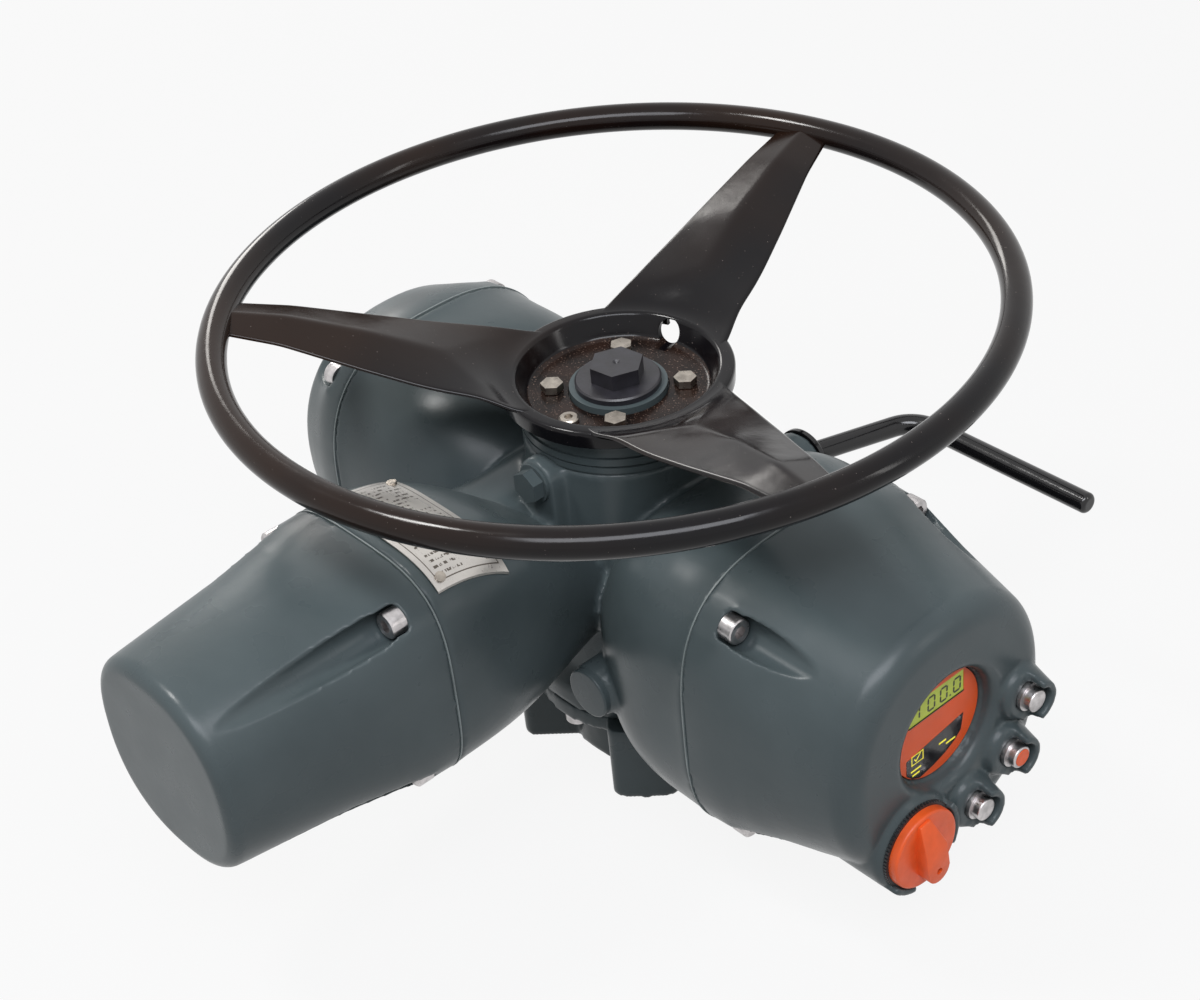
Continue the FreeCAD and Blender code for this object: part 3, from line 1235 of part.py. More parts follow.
def knob_boss(x, y):
    boss = cylinder(KNOB_BOSS_R, CONTROL_END - PANEL_ROOT, KNOB_BOSS_END, x, y)
    boss = boss.makeFillet(KNOB_BOSS_EDGE, edges_at(boss, KNOB_BOSS_END))
    guards = []
    top = KNOB_BOSS_END + KNOB_GUARD_H
    for angle, width in KNOB_GUARDS:
        guard = sector(KNOB_DISC_R + 1.0, KNOB_BOSS_R, CONTROL_END - 1.0, top, angle, width)
        guard.translate(vec(x, y, 0))
        guards.append(guard)
    return fuse(boss, *guards)


def control_cover():
    knob_x, knob_y = from_window(KNOB_RADIUS, KNOB_ANGLE)
    hole_start = CONTROL_END - PANEL_ROOT - 1.0
    bosses = [knob_boss(knob_x, knob_y)]
    holes = [cylinder(KNOB_SPINDLE_R + FIT, hole_start, KNOB_BOSS_END + 1, knob_x, knob_y)]
    for x, y in button_places():
        bosses.append(button_boss(x, y))
        holes.append(cylinder(BUTTON_SLEEVE_R + FIT / 2.0, hole_start, HOOD_CUT + 1, x, y))
    cover = cover_blank("control")
    for piece in window_recess() + holes:
        cover = cover.cut(piece)
    for boss, hole in zip(bosses, holes):
        cover = cover.fuse(boss.cut(hole))
    return put(cover, along_control())


def window_glass():
    glass = cylinder(WINDOW_R - FIT, WINDOW_LEDGE, WINDOW_LEDGE + GLASS_THICK, 0, PANEL_RISE)
    return put(glass, along_control())


def lcd_block(gap, z0, z1):
    low = PANEL_RISE + LCD_RISE
    return box(gap - LCD_WIDTH / 2.0, LCD_WIDTH / 2.0 - gap, low + gap, low + LCD_HEIGHT - gap, z0, z1)


def display_panel():
    top = WINDOW_LEDGE - PANEL_DROP
    panel = cylinder(PANEL_R, top - PANEL_THICK, top, 0, PANEL_RISE)
    return put(panel.cut(lcd_block(0, top - LCD_DEPTH, top + 1)), along_control())


def display_lcd():
    top = WINDOW_LEDGE - PANEL_DROP
    lcd = lcd_block(FIT, top - LCD_DEPTH, top - 0.2)
    return put(lcd.common(cylinder(PANEL_R, top - LCD_DEPTH, top, 0, PANEL_RISE)), along_control())


def control_board():
    board = cylinder(BOARD_R, BOARD_Z, BOARD_Z + BOARD_THICK)
    module_end = WINDOW_LEDGE - PANEL_DROP - PANEL_THICK
    module = box(-MODULE_WIDTH / 2.0, MODULE_WIDTH / 2.0, PANEL_RISE - MODULE_HEIGHT / 2.0,
                 PANEL_RISE + MODULE_HEIGHT / 2.0, BOARD_Z + 1.0, module_end)
    width, height, depth = RELAY_SIZE
    relays = [box(x, x + width, RELAY_LOW, RELAY_LOW + height, BOARD_Z - depth, BOARD_Z + 0.5)
              for x in RELAY_PLACES]
    return put(fuse(board, module, *relays), along_control())


def power_unit():
    """The switchgear block on its mounting plate across the mouth of the control housing."""
    seam = CONTROL_SEAM
    plate = cylinder(CONTROL_BORE_R - SPIGOT_WALL - 1.0, seam - UNIT_PLATE, seam)
    plate = plate.cut(cylinder(UNIT_CABLE_HOLE_R, seam - UNIT_PLATE - 1, seam + 1, 0, UNIT_CABLE_HOLE_Y))
    blocks = [box(x, x + UNIT_WIDTH, *UNIT_SPAN, seam - 1.0, seam + UNIT_HEIGHT) for x in UNIT_PLACES]
    pillars = [cylinder(PILLAR_R, seam - 1.0, BOARD_Z, *polar(BOARD_R - PILLAR_INSET, a))
               for a in foot_angles()]
    return put(fuse(plate, *blocks, *pillars), along_control())


def button_sleeves():
    start = BUTTON_FACE - BUTTON_LENGTH + SEAT_GAP
    return [put(tube(BUTTON_SLEEVE_R, BUTTON_R + FIT, start, BUTTON_SLEEVE_END, x, y), along_control())
            for x, y in button_places()]


def push_button(index, inset):
    x, y = button_places()[index]
    body = cylinder(BUTTON_R, BUTTON_FACE - BUTTON_LENGTH, BUTTON_FACE, x, y)
    flange = cylinder(BUTTON_R + 1.0, BUTTON_FACE - BUTTON_LENGTH - 1.5, BUTTON_FACE - BUTTON_LENGTH, x, y)
    body = fuse(body, flange)
    body = body.makeFillet(1.0, edges_at(body, BUTTON_FACE))
    if inset:
        body = body.cut(cylinder(BUTTON_INSET_R, BUTTON_FACE - BUTTON_INSET, BUTTON_FACE + 1, x, y))
    return put(body, along_control())


def button_face():
    x, y = button_places()[1]
    face = cylinder(BUTTON_INSET_R - FIT, BUTTON_FACE - BUTTON_INSET, BUTTON_FACE + 0.4, x, y)
    return put(face.makeFillet(0.3, edges_at(face, BUTTON_FACE + 0.4)), along_control())


def knob_grip(base):
    """The grip bar: a wedge that is tallest at its pointing end."""
    far = KNOB_DISC_R - 2.5
    low = base + KNOB_DISC_H - 1.0
    side = [(-KNOB_GRIP_LOW, low), (-KNOB_GRIP_LOW, base + KNOB_GRIP_H), (KNOB_GRIP_TOP, base + KNOB_GRIP_H),
            (far, low + 2.0), (far, low)]
    corners = [vec(-KNOB_GRIP_WIDTH / 2.0, y, z) for y, z in side]
    grip = Part.Face(Part.makePolygon(corners + corners[:1])).extrude(vec(KNOB_GRIP_WIDTH, 0, 0))
    upright = [e for e in grip.Edges
               if e.BoundBox.ZLength > KNOB_GRIP_H - KNOB_DISC_H and e.BoundBox.YLength < 0.01]
    return grip.makeFillet(3.0, upright)


def selector_knob():
    x, y = from_window(KNOB_RADIUS, KNOB_ANGLE)
    base = KNOB_BOSS_END + SEAT_GAP
    disc = cylinder(KNOB_DISC_R, base, base + KNOB_DISC_H)
    disc = disc.makeFillet(1.2, edges_at(disc, base + KNOB_DISC_H))
    dot = cylinder(1.8, base + KNOB_GRIP_H - 2.0, base + KNOB_GRIP_H + 1, 0, 7.0 - KNOB_GRIP_LOW)
    bore = cylinder(KNOB_SPINDLE_R + FIT / 2.0, base - 1, base + KNOB_SPINDLE_IN)
    knob = fuse(disc, knob_grip(base)).cut([dot, bore])
    knob.rotate(ORIGIN, UP, KNOB_GRIP_TURN)
    knob.translate(vec(x, y, 0))
    return put(knob, along_control())


def knob_spindle():
    x, y = from_window(KNOB_RADIUS, KNOB_ANGLE)
    start = CONTROL_END - PANEL_ROOT - 2.0
    shank = cylinder(KNOB_SPINDLE_R, start, KNOB_BOSS_END + SEAT_GAP + KNOB_SPINDLE_IN, x, y)
    collar = cylinder(KNOB_SPINDLE_R + 2.0, start - 2.0, start, x, y)
    return put(fuse(shank, collar), along_control())


# Terminal compartment

def terminal_carrier():
    back = TERMINAL_SEAM - SPIGOT_DEPTH
    front = TERMINAL_SEAM + BLOCK_RISE
    first = -TERMINAL_PITCH * (TERMINALS - 1) / 2.0
    plate = cylinder(TERMINAL_BORE_R - FIT, back - CARRIER_THICK, back)
    blocks = [box(-BLOCK_HALF, BLOCK_HALF, y, y + BLOCK_DEPTH, back - 1.0, front) for y in BLOCK_ROWS]
    screws = [cylinder(TERMINAL_SCREW_R, front - 1.0, front + TERMINAL_SCREW_H,
                       first + TERMINAL_PITCH * k, y + BLOCK_DEPTH / 2.0)
              for y in BLOCK_ROWS for k in range(TERMINALS)]
    return put(fuse(plate, *blocks, *screws), along_terminal())


def entry_plugs():
    """Blanking plugs in two of the three cable entries; the middle one is left open."""
    low = ENTRY_FACE_Z - ENTRY_HEAD_H
    plugs = []
    for x, y in (entry_places()[0], entry_places()[2]):
        head = cylinder(ENTRY_R + 3.0, low, ENTRY_FACE_Z, x, y)
        head = head.makeChamfer(1.0, edges_at(head, low))
        shank = cylinder(ENTRY_R - FIT, ENTRY_FACE_Z - 0.5, ENTRY_FACE_Z + ENTRY_LENGTH, x, y)
        plugs.append(fuse(head, shank).cut(hexagon(ENTRY_HEX_AF, low - 1.0, ENTRY_FACE_Z, x, y)))
    return plugs


SAVED = {
    "gear_housing": gear_housing,
    "base_flange": base_flange,
    "base_screws": base_screws,
    "column_cap": column_cap,
    "shaft_seal": shaft_seal,
    "oil_plug": oil_plug,
    "oil_plug_washer": oil_plug_washer,
    "side_plug": side_plug,
    "nameplate": nameplate,
    "nameplate_rivets": nameplate_rivets,
    "drive_sleeve": drive_sleeve,
    "drive_bush": drive_bush,
    "worm_wheel": worm_wheel,
    "worm_shaft": worm_shaft,
    "worm_gear": worm_gear,
    "worm_bearings": worm_bearings,
    "motor_pinion": motor_pinion,
    "motor_shaft": motor_shaft,
    "motor_rotor": motor_rotor,
    "motor_stator": motor_stator,
    "motor_windings": motor_windings,
    "motor_bracket": motor_bracket,
    "motor_shield": motor_shield,
    "motor_bearings": motor_bearings,
    "hand_drive_shaft": hand_drive_shaft,
    "stem_plug": stem_plug,
    "clutch_ring": clutch_ring,
    "shift_yoke": shift_yoke,
    "lever_shaft": lever_shaft,
    "lever_bush": lever_bush,
    "lever_collar": lever_collar,
    "lever_rod": lever_rod,
    "handwheel_spider": handwheel_spider,
    "hub_bolts": hub_bolts,
    "control_cover": control_cover,
    "window_glass": window_glass,
    "display_panel": display_panel,
    "display_lcd": display_lcd,
    "control_board": control_board,
    "power_unit": power_unit,
    "button_sleeves": button_sleeves,
    "button_face": button_face,
    "selector_knob": selector_knob,
    "knob_spindle": knob_spindle,
    "terminal_carrier": terminal_carrier,
    "entry_plugs": entry_plugs,
}

for piece_name, make in SAVED.items():
    save(piece_name, make())
save("handwheel_rim", rim_torus(RIM_TUBE_R))
save("lower_bearing", bearing(SLEEVE_SEAT_R + FIT, LOWER_BEARING_R, LOWER_BEARING_Z, LOWER_BEARING_H))
save("upper_bearing", bearing(SLEEVE_R + FIT, UPPER_BEARING_R, UPPER_BEARING_Z, UPPER_BEARING_H))
save("motor_cover", put(cover_blank("motor"), along_motor()))
save("terminal_cover", put(cover_blank("terminal"), along_terminal()))
for arm_name in ARMS:
    save(arm_name + "_cover_screws", cover_screws(arm_name))
    save(arm_name + "_cover_seal", cover_seal(arm_name))
for number, button_name in enumerate(("open", "stop", "close")):
    save("push_button_" + button_name, push_button(number, number == 1))
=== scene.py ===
import math
from collections import namedtuple

import bmesh
import bpy
import numpy
from mathutils import Matrix, Vector


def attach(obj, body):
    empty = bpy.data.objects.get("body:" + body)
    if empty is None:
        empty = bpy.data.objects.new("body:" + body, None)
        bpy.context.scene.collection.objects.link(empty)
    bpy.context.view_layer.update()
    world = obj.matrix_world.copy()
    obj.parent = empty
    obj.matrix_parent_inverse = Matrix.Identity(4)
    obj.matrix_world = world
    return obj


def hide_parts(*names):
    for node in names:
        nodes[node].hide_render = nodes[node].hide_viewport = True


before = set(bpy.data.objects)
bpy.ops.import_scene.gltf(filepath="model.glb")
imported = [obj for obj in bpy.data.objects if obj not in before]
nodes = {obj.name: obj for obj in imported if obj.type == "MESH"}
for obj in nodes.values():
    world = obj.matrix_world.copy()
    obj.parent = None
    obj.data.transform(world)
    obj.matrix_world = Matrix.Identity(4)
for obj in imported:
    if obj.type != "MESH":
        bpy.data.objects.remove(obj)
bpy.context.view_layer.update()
MM = 0.001
UP = Vector((0.0, 0.0, 1.0))

# Sizes are in millimetres and angles in degrees, and heights count from the base flange's underside

RIM_R = 192.5
RIM_TUBE_R = 7.5
RIM_Z = 262.0
SHEET = 2.5
ROLL = 1.7                      # how far a spoke's edges roll under
SPOKE_ANGLES = (-135.7, -15.7, 104.3)
# Along a spoke: radius, half width, height of its edges, height of its ridge
SPOKE_ROWS = ((52.0, 35.3, 223.9, 223.9), (57.5, 35.0, 224.0, 224.1), (62.0, 33.4, 226.8, 227.1),
              (70.0, 30.7, 231.0, 231.8), (85.0, 29.0, 235.0, 238.0), (120.0, 23.5, 245.0, 250.5),
              (160.0, 16.5, 257.0, 261.5), (190.0, 12.5, 262.5, 265.5))
RIDGE_SPLIT = 0.72              # share of the width between the two ridges at the hub
SPLIT_FROM, SPLIT_TO = 62.0, 88.0
ARC_FROM, ARC_TO = 60.0, 100.0  # the sheet's rows go from arcs round the hub to straight lines
HUB_BORE_R = 25.0
HUB_PLATE_Z = 209.5
HUB_FLOOR_Z = HUB_PLATE_Z + SHEET
HUB_FLOOR_R = 45.5
HUB_LIP_Z = 224.0
HUB_SKIRT_R = 58.0
HUB_SKIRT_Z = 215.0
HUB_WINDOW_Z = 217.0
HUB_WINDOW_TALL, HUB_WINDOW_WIDE = 6.4, 6.2
HUB_WINDOW_FROM, HUB_WINDOW_TO = 38.0, 66.0

# An arm of the housing and its cover: the arm's axis, direction and height, the seam's distance from the
# column, half the seam's width and diagonal, the screws' distance from the axis along its other axes,
# and where the even band next to the seam ends
Arm = namedtuple("Arm", "axis sign rise seam half diagonal screws band_end")
MOTOR = Arm(1, -1.0, 152.0, 163.5, 60.5, 70.0, 44.8, 196.0)
TERMINAL = Arm(0, -1.0, 121.0, 152.0, 77.0, 84.0, 54.7, 182.0)
CONTROL = Arm(0, 1.0, 110.0, 121.0, 81.0, 92.0, 60.4, 156.0)
BAND_EASE_IN, BAND_EASE_OUT = 6.0, 8.0
SCREW_PAD_R, SCREW_EASE_R = 11.0, 16.0
SEAM_DEPTH = 2.5
SEAM_PROUD = 0.25
SEAM_WIDTH = 0.8

PLATE_X = (-34.0, 50.0)
PLATE_ALONG = (117.0, 157.0)    # along the motor arm
ROW_PITCH = 3.4
TEXT_INSET = (5.0, 5.5)
RULE_INSET = 2.8
RULE_WIDTH = 0.5
UNDER_PLATE = 0.6               # how far inside the plate's edges the casting is pulled in
PULL_IN = 0.985

# The yoke's space at the top of its stroke, inside the column
YOKE_R = (40.0, 48.2)
YOKE_X = 26.0
YOKE_Z = (168.0, 187.0)
YOKE_TOP_Z = 178.0
YOKE_ROOM = 1.3
YOKE_HEADROOM = 1.0

# Control panel: distances along the arm, and places round the arm's axis
LCD_FACE = 205.52
LABEL_FACE = 205.7
PRINT = 0.06
FIELD = 0.1
DIGIT_WIDTH, DIGIT_HEIGHT = 4.4, 7.6
DIGIT_FOOT = 14.6
DIGIT_LEAN = 0.04
DIGIT_BAR = 1.1
DIGIT_GAP = 0.12                # what a bar leaves free at each end
BUTTON_RADIUS = 48.7
BUTTON_ANGLES = (-3.0, -39.0, -75.0)
LUG_FROM, LUG_TO = 212.0, 219.5
KNOB_AT = (-27.14, -45.78)
KNOB_BASE = 217.3
KNOB_R = 21.0
KNOB_DISC_H = 6.0
KNOB_GRIP_H = 13.0
KNOB_TAIL_H = 7.4
KNOB_GRIP_R = 7.3
KNOB_TURN = 6.0
KNOB_HOLE_R = 1.8
RING_FROM, RING_TO = 216.2, 218.6
RING_INNER_R, RING_OUTER_R = 22.2, 22.9
RING_TEETH = 72

SIDE_PLUG_X, SIDE_PLUG_Z = 52.0, 95.0
SIDE_PLUG_R = 13.2
SIDE_PLUG_FROM, SIDE_PLUG_TO = 77.0, 82.0


# Colours are written as they look on screen, and turned into Blender's linear values here

def linear(red, green, blue):
    values = []
    for channel in (red, green, blue):
        c = channel / 255.0
        values.append(c / 12.92 if c <= 0.04045 else ((c + 0.055) / 1.055) ** 2.4)
    return (*values, 1.0)


class Look:
    """A procedural material: one Principled shader and the nodes that feed it."""

    def __init__(self, name, colour, roughness, metallic=0.0):
        self.material = bpy.data.materials.new(name)
        self.material.use_nodes = True
        self.tree = self.material.node_tree
        self.shader = self.tree.nodes["Principled BSDF"]
        self.put("Base Color", linear(*colour))
        self.put("Roughness", roughness)
        self.put("Metallic", metallic)
        self.place = self.node("ShaderNodeTexCoord").outputs["Object"]

    def node(self, kind, **inputs):
        made = self.tree.nodes.new(kind)
        for name, value in inputs.items():
            made.inputs[name].default_value = value
        return made

    def maths(self, operation, first, second):
        """The result of a Math node on two sockets or numbers."""
        made = self.tree.nodes.new("ShaderNodeMath")
        made.operation = operation
        for socket, value in zip(made.inputs, (first, second)):
            if isinstance(value, float):
                socket.default_value = value
            else:
                self.link(value, socket)
        return made.outputs["Value"]

    def link(self, output, target):
        self.tree.links.new(output, target)

    def put(self, socket, value):
        self.shader.inputs[socket].default_value = value

    def noise(self, per_metre, detail=2.0, stretch=None, rough=0.5):
        """Noise with this many features per metre; stretch scales it along each axis."""
        made = self.node("ShaderNodeTexNoise", Scale=per_metre, Detail=detail, Roughness=rough)
        if stretch:
            mapping = self.node("ShaderNodeMapping")
            mapping.inputs["Scale"].default_value = stretch
            self.link(self.place, mapping.inputs["Vector"])
            self.link(mapping.outputs["Vector"], made.inputs["Vector"])
        else:
            self.link(self.place, made.inputs["Vector"])
        return made.outputs["Fac"]

    def ramp(self, value, low, high, start, end):
        """Maps value from low..high to start..end, held at the ends."""
        made = self.node("ShaderNodeMapRange")
        limits = {"From Min": low, "From Max": high, "To Min": start, "To Max": end}
        for name, number in limits.items():
            made.inputs[name].default_value = number
        self.link(value, made.inputs["Value"])
        return made.outputs["Result"]

    def mix(self, share, first, second):
        """A colour between first and second; each is a triple or a socket."""
        made = self.tree.nodes.new("ShaderNodeMix")
        made.data_type = "RGBA"
        self.link(share, made.inputs[0])
        for socket, colour in ((made.inputs[6], first), (made.inputs[7], second)):
            if isinstance(colour, tuple):
                socket.default_value = linear(*colour)
            else:
                self.link(colour, socket)
        return made.outputs[2]

    def colour(self, output):
        self.link(output, self.shader.inputs["Base Color"])
        return self

    def rough(self, output):
        self.link(output, self.shader.inputs["Roughness"])
        return self

    def bump(self, height, depth, after=None):
        made = self.node("ShaderNodeBump", Strength=1.0, Distance=depth)
        self.link(height, made.inputs["Height"])
        if after:
            self.link(after, made.inputs["Normal"])
        self.link(made.outputs["Normal"], self.shader.inputs["Normal"])
        return made.outputs["Normal"]


def enamel():
    """Satin grey-green paint on cast aluminium, with a fine orange peel."""
    look = Look("casting_enamel", (70, 79, 81), 0.3)
    look.put("Specular IOR Level", 0.22)
    patches = look.ramp(look.noise(18.0, 4.0), 0.35, 0.65, 0.0, 1.0)
    look.colour(look.mix(patches, (64, 73, 75), (71, 80, 82)))
    look.rough(look.ramp(look.noise(45.0, 3.0), 0.3, 0.7, 0.26, 0.33))
    fine = look.bump(look.noise(1500.0, 2.0), 0.00002)
    look.bump(look.noise(260.0, 2.0), 0.00003, fine)
    return look.material


def wheel_paint():
    """Gloss black stove enamel with slow waves in it and a few specks of dust."""
    look = Look("wheel_enamel", (12, 10, 11), 0.1)
    look.put("Specular IOR Level", 0.24)
    dust = look.ramp(look.noise(900.0, 1.0), 0.78, 0.795, 0.0, 1.0)
    tone = look.mix(look.ramp(look.noise(7.0, 2.0), 0.4, 0.62, 0.0, 1.0), (10, 8, 11), (30, 17, 10))
    look.colour(look.mix(dust, tone, (96, 88, 84)))
    look.rough(look.ramp(look.noise(60.0, 4.0), 0.35, 0.7, 0.12, 0.2))
    look.bump(look.noise(110.0, 2.0), 0.00006)
    return look.material


def hub_paint_and_reflection():
    """Dark paint on the hub's floor, tinted brown as a painted reflection, with specks of grit."""
    look = Look("hub_floor_paint_and_reflection", (24, 18, 17), 0.2)
    look.put("Specular IOR Level", 0.16)
    grit = look.ramp(look.noise(1100.0, 2.0), 0.62, 0.7, 0.0, 1.0)
    # The brown in this tone is painted reflection, not the paint's own colour
    base = look.mix(look.ramp(look.noise(70.0, 4.0), 0.35, 0.65, 0.0, 1.0), (16, 11, 10), (38, 25, 20))
    look.colour(look.mix(grit, base, (104, 86, 76)))
    look.bump(look.noise(900.0, 2.0), 0.00006)
    return look.material


def etched_plate():
    """Brushed sheet with rows of fine dark dashes, as an engraved data plate shows from afar."""
    look = Look("etched_plate", (196, 193, 190), 0.3, 1.0)
    split = look.node("ShaderNodeSeparateXYZ")
    look.link(look.place, split.inputs["Vector"])
    across, along = split.outputs["X"], look.maths("MULTIPLY", split.outputs["Y"], -1.0)

    def between(value, limits, inset):
        """One where a value lies between limits in millimetres, this far inside them, and zero elsewhere."""
        above = look.maths("GREATER_THAN", value, (limits[0] + inset) * MM)
        return look.maths("MULTIPLY", above, look.maths("LESS_THAN", value, (limits[1] - inset) * MM))

    def field(inset_x, inset_along):
        wide, deep = between(across, PLATE_X, inset_x), between(along, PLATE_ALONG, inset_along)
        return look.maths("MULTIPLY", wide, deep)

    rows = look.maths("MODULO", look.maths("ADD", across, 1.0), ROW_PITCH * MM)
    row = look.ramp(rows, 0.0013, 0.0015, 1.0, 0.0)
    dash = look.ramp(look.noise(900.0, 1.0, (0.35, 1.0, 0.35)), 0.49, 0.52, 0.0, 1.0)
    block = look.ramp(look.noise(70.0, 1.0), 0.44, 0.48, 0.0, 1.0)
    blocks = look.maths("MULTIPLY", block, field(*TEXT_INSET))
    words = look.maths("MULTIPLY", look.maths("MULTIPLY", row, dash), blocks)
    inner = RULE_INSET + RULE_WIDTH
    rule = look.maths("SUBTRACT", field(RULE_INSET, RULE_INSET), field(inner, inner))
    tones = look.ramp(look.noise(40.0, 2.0), 0.3, 0.7, 0.0, 1.0)
    sheet = look.mix(tones, (186, 182, 178), (206, 202, 196))
    look.colour(look.mix(look.maths("MAXIMUM", words, rule), sheet, (98, 92, 86)))
    look.rough(look.ramp(look.noise(900.0, 3.0, (0.04, 1.0, 1.0)), 0.3, 0.7, 0.26, 0.38))
    look.bump(look.noise(1600.0, 2.0, (0.04, 1.0, 1.0)), 0.00001)
    return look.material


def metal(name, colour, roughness, scratch=(1.0, 1.0, 1.0), spread=0.1, depth=0.00002):
    """Bare or plated metal with uneven gloss and fine marks."""
    look = Look(name, colour, roughness, 1.0)
    darker = tuple(int(c * 0.82) for c in colour)
    look.colour(look.mix(look.ramp(look.noise(220.0, 4.0), 0.35, 0.65, 0.0, 1.0), darker, colour))
    marks = look.noise(400.0, 3.0, scratch)
    look.rough(look.ramp(marks, 0.3, 0.7, roughness - spread / 2.0, roughness + spread))
    look.bump(look.noise(1200.0, 3.0, scratch), depth)
    return look.material


def plain(name, colour, roughness, shade=0.86, per_metre=60.0, depth=0.00003, grain=900.0, specular=0.5):
    """Plastic, rubber or paint: a colour that varies a little, with a fine grain."""
    look = Look(name, colour, roughness)
    look.put("Specular IOR Level", specular)
    darker = tuple(int(c * shade) for c in colour)
    look.colour(look.mix(look.ramp(look.noise(per_metre, 4.0), 0.3, 0.7, 0.0, 1.0), darker, colour))
    look.rough(look.ramp(look.noise(per_metre * 3.0, 3.0), 0.3, 0.7, roughness - 0.04, roughness + 0.06))
    look.bump(look.noise(grain, 2.0), depth)
    return look.material


def glowing(name, colour, strength):
    look = Look(name, colour, 0.35)
    darker = tuple(int(c * 0.93) for c in colour)
    shade = look.mix(look.ramp(look.noise(120.0, 2.0), 0.3, 0.7, 0.0, 1.0), darker, colour)
    look.colour(shade)
    look.link(shade, look.shader.inputs["Emission Color"])
    look.put("Emission Strength", strength)
    return look.material


def clear(name):
    look = Look(name, (26, 28, 28), 0.05)
    look.put("Alpha", 0.04)
    look.rough(look.ramp(look.noise(80.0, 2.0), 0.3, 0.7, 0.03, 0.08))
    return look.material


LOOKS = {
    "enamel": enamel(),
    "wheel": wheel_paint(),
    "hub": hub_paint_and_reflection(),
    "zinc": metal("zinc_plate", (176, 168, 158), 0.3),
    "screw": metal("screw_steel", (204, 200, 200), 0.32),
    "steel": metal("turned_steel", (150, 150, 152), 0.28, (1.0, 1.0, 0.08)),
    "plate": etched_plate(),
    # A pale colour for the seams: painted highlight for the light their edges catch
    "seam": plain("seam_highlight_line", (118, 127, 127), 0.4),
    "cast_steel": metal("cast_steel", (112, 112, 112), 0.5),
    "bronze": metal("bronze", (176, 128, 72), 0.34),
    "copper": plain("winding_enamel", (150, 74, 34), 0.35, 0.7, 300.0, 0.0002, 500.0),
    "laminations": metal("laminations", (96, 98, 104), 0.5, (1.0, 0.03, 1.0)),
    "oxide": plain("black_oxide", (38, 37, 43), 0.36, 0.72, 150.0, 0.00004, 700.0),
    "lever": plain("lever_enamel", (14, 13, 15), 0.14, 0.8, 60.0, 0.00004, 150.0),
    "orange": plain("orange_nylon", (236, 92, 34), 0.42, 0.9, 90.0, 0.00003, 1200.0),
    "label": plain("orange_label", (246, 94, 34), 0.4, 0.95),
    "dark_glass": plain("dark_screen", (22, 17, 22), 0.12, 0.8),
    "lcd": glowing("lcd_backlight", (176, 190, 62), 0.25),
    "digit": plain("lcd_segment", (44, 52, 22), 0.4),
    "lit": glowing("lit_characters", (236, 224, 60), 0.6),
    "glass": clear("window_glass"),
    "rubber": plain("seal_rubber", (26, 26, 27), 0.7),
    "board": plain("circuit_board", (30, 84, 56), 0.45, 0.8, 200.0, 0.0001, 600.0),
    "moulding": plain("grey_moulding", (72, 74, 78), 0.5),
    "white": plain("white_moulding", (206, 204, 196), 0.5, 0.93),
    # Black moulding; on the knob's ring it is also painted shade for the shadows of its scalloped edge
    "black": plain("black_moulding_and_painted_shade", (30, 30, 32), 0.45),
}

NODE_LOOKS = {
    "enamel": ("base_flange", "column_cap", "gear_housing", "hand_drive_shaft", "control_cover",
               "motor_cover", "terminal_cover", "side_plug", "oil_plug", "oil_plug_washer"),
    "wheel": ("handwheel_rim", "handwheel_spider"),
    "zinc": ("hub_bolts", "nameplate_rivets"),
    "screw": ("base_screws", "control_cover_screws", "motor_cover_screws", "terminal_cover_screws",
              "button_sleeves", "push_button_open", "push_button_stop", "push_button_close"),
    "steel": ("drive_sleeve", "lower_bearing", "upper_bearing", "worm_shaft", "worm_bearings", "worm_gear",
              "motor_shaft", "motor_bearings", "motor_pinion", "lever_shaft", "knob_spindle", "clutch_ring"),
    "cast_steel": ("shift_yoke", "motor_shield", "motor_bracket", "drive_bush", "motor_rotor"),
    "bronze": ("worm_wheel", "lever_bush"),
    "black": ("entry_plugs",),
    "copper": ("motor_windings",),
    "laminations": ("motor_stator",),
    "plate": ("nameplate",),
    "oxide": ("stem_plug",),
    "lever": ("lever_rod", "lever_collar"),
    "orange": ("selector_knob", "button_face"),
    "label": ("display_panel",),
    "lcd": ("display_lcd",),
    "glass": ("window_glass",),
    "rubber": ("shaft_seal", "control_cover_seal", "motor_cover_seal", "terminal_cover_seal"),
    "board": ("control_board",),
    "moulding": ("power_unit",),
    "white": ("terminal_carrier",),
}


def paint(obj, look):
    obj.data.materials.clear()
    obj.data.materials.append(LOOKS[look])
    return obj


for look_name, members in NODE_LOOKS.items():
    for member in members:
        paint(nodes[member], look_name)


# Mesh tools: points are given in millimetres and become metres on the object

def added(name, data):
    """A new object in the scene."""
    obj = bpy.data.objects.new(name, data)
    bpy.context.scene.collection.objects.link(obj)
    return obj


def mesh_object(name, points, faces, crease=35.0):
    """An object from points and faces, smooth shaded but for edges sharper than crease degrees."""
    mesh = bpy.data.meshes.new(name)
    mesh.from_pydata([Vector(p) * MM for p in points], [], faces)
    build = bmesh.new()
    build.from_mesh(mesh)
    bmesh.ops.remove_doubles(build, verts=build.verts, dist=1e-7)
    bmesh.ops.recalc_face_normals(build, faces=build.faces)
    build.to_mesh(mesh)
    build.free()
    return shaded(added(name, mesh), crease)


def shaded(obj, crease=35.0):
    obj.data.polygons.foreach_set("use_smooth", [True] * len(obj.data.polygons))
    obj.data.set_sharp_from_angle(angle=math.radians(crease))
    return obj


def applied(obj):
    """Bakes the object's modifiers into its mesh."""
    graph = bpy.context.evaluated_depsgraph_get()
    obj.data = bpy.data.meshes.new_from_object(obj.evaluated_get(graph), depsgraph=graph)
    obj.modifiers.clear()
    return obj


def joined(name, objects):
    """One object that holds the meshes of several."""
    build = bmesh.new()
    for obj in objects:
        build.from_mesh(obj.data)
        bpy.data.objects.remove(obj)
    mesh = bpy.data.meshes.new(name)
    build.to_mesh(mesh)
    build.free()
    return added(name, mesh)


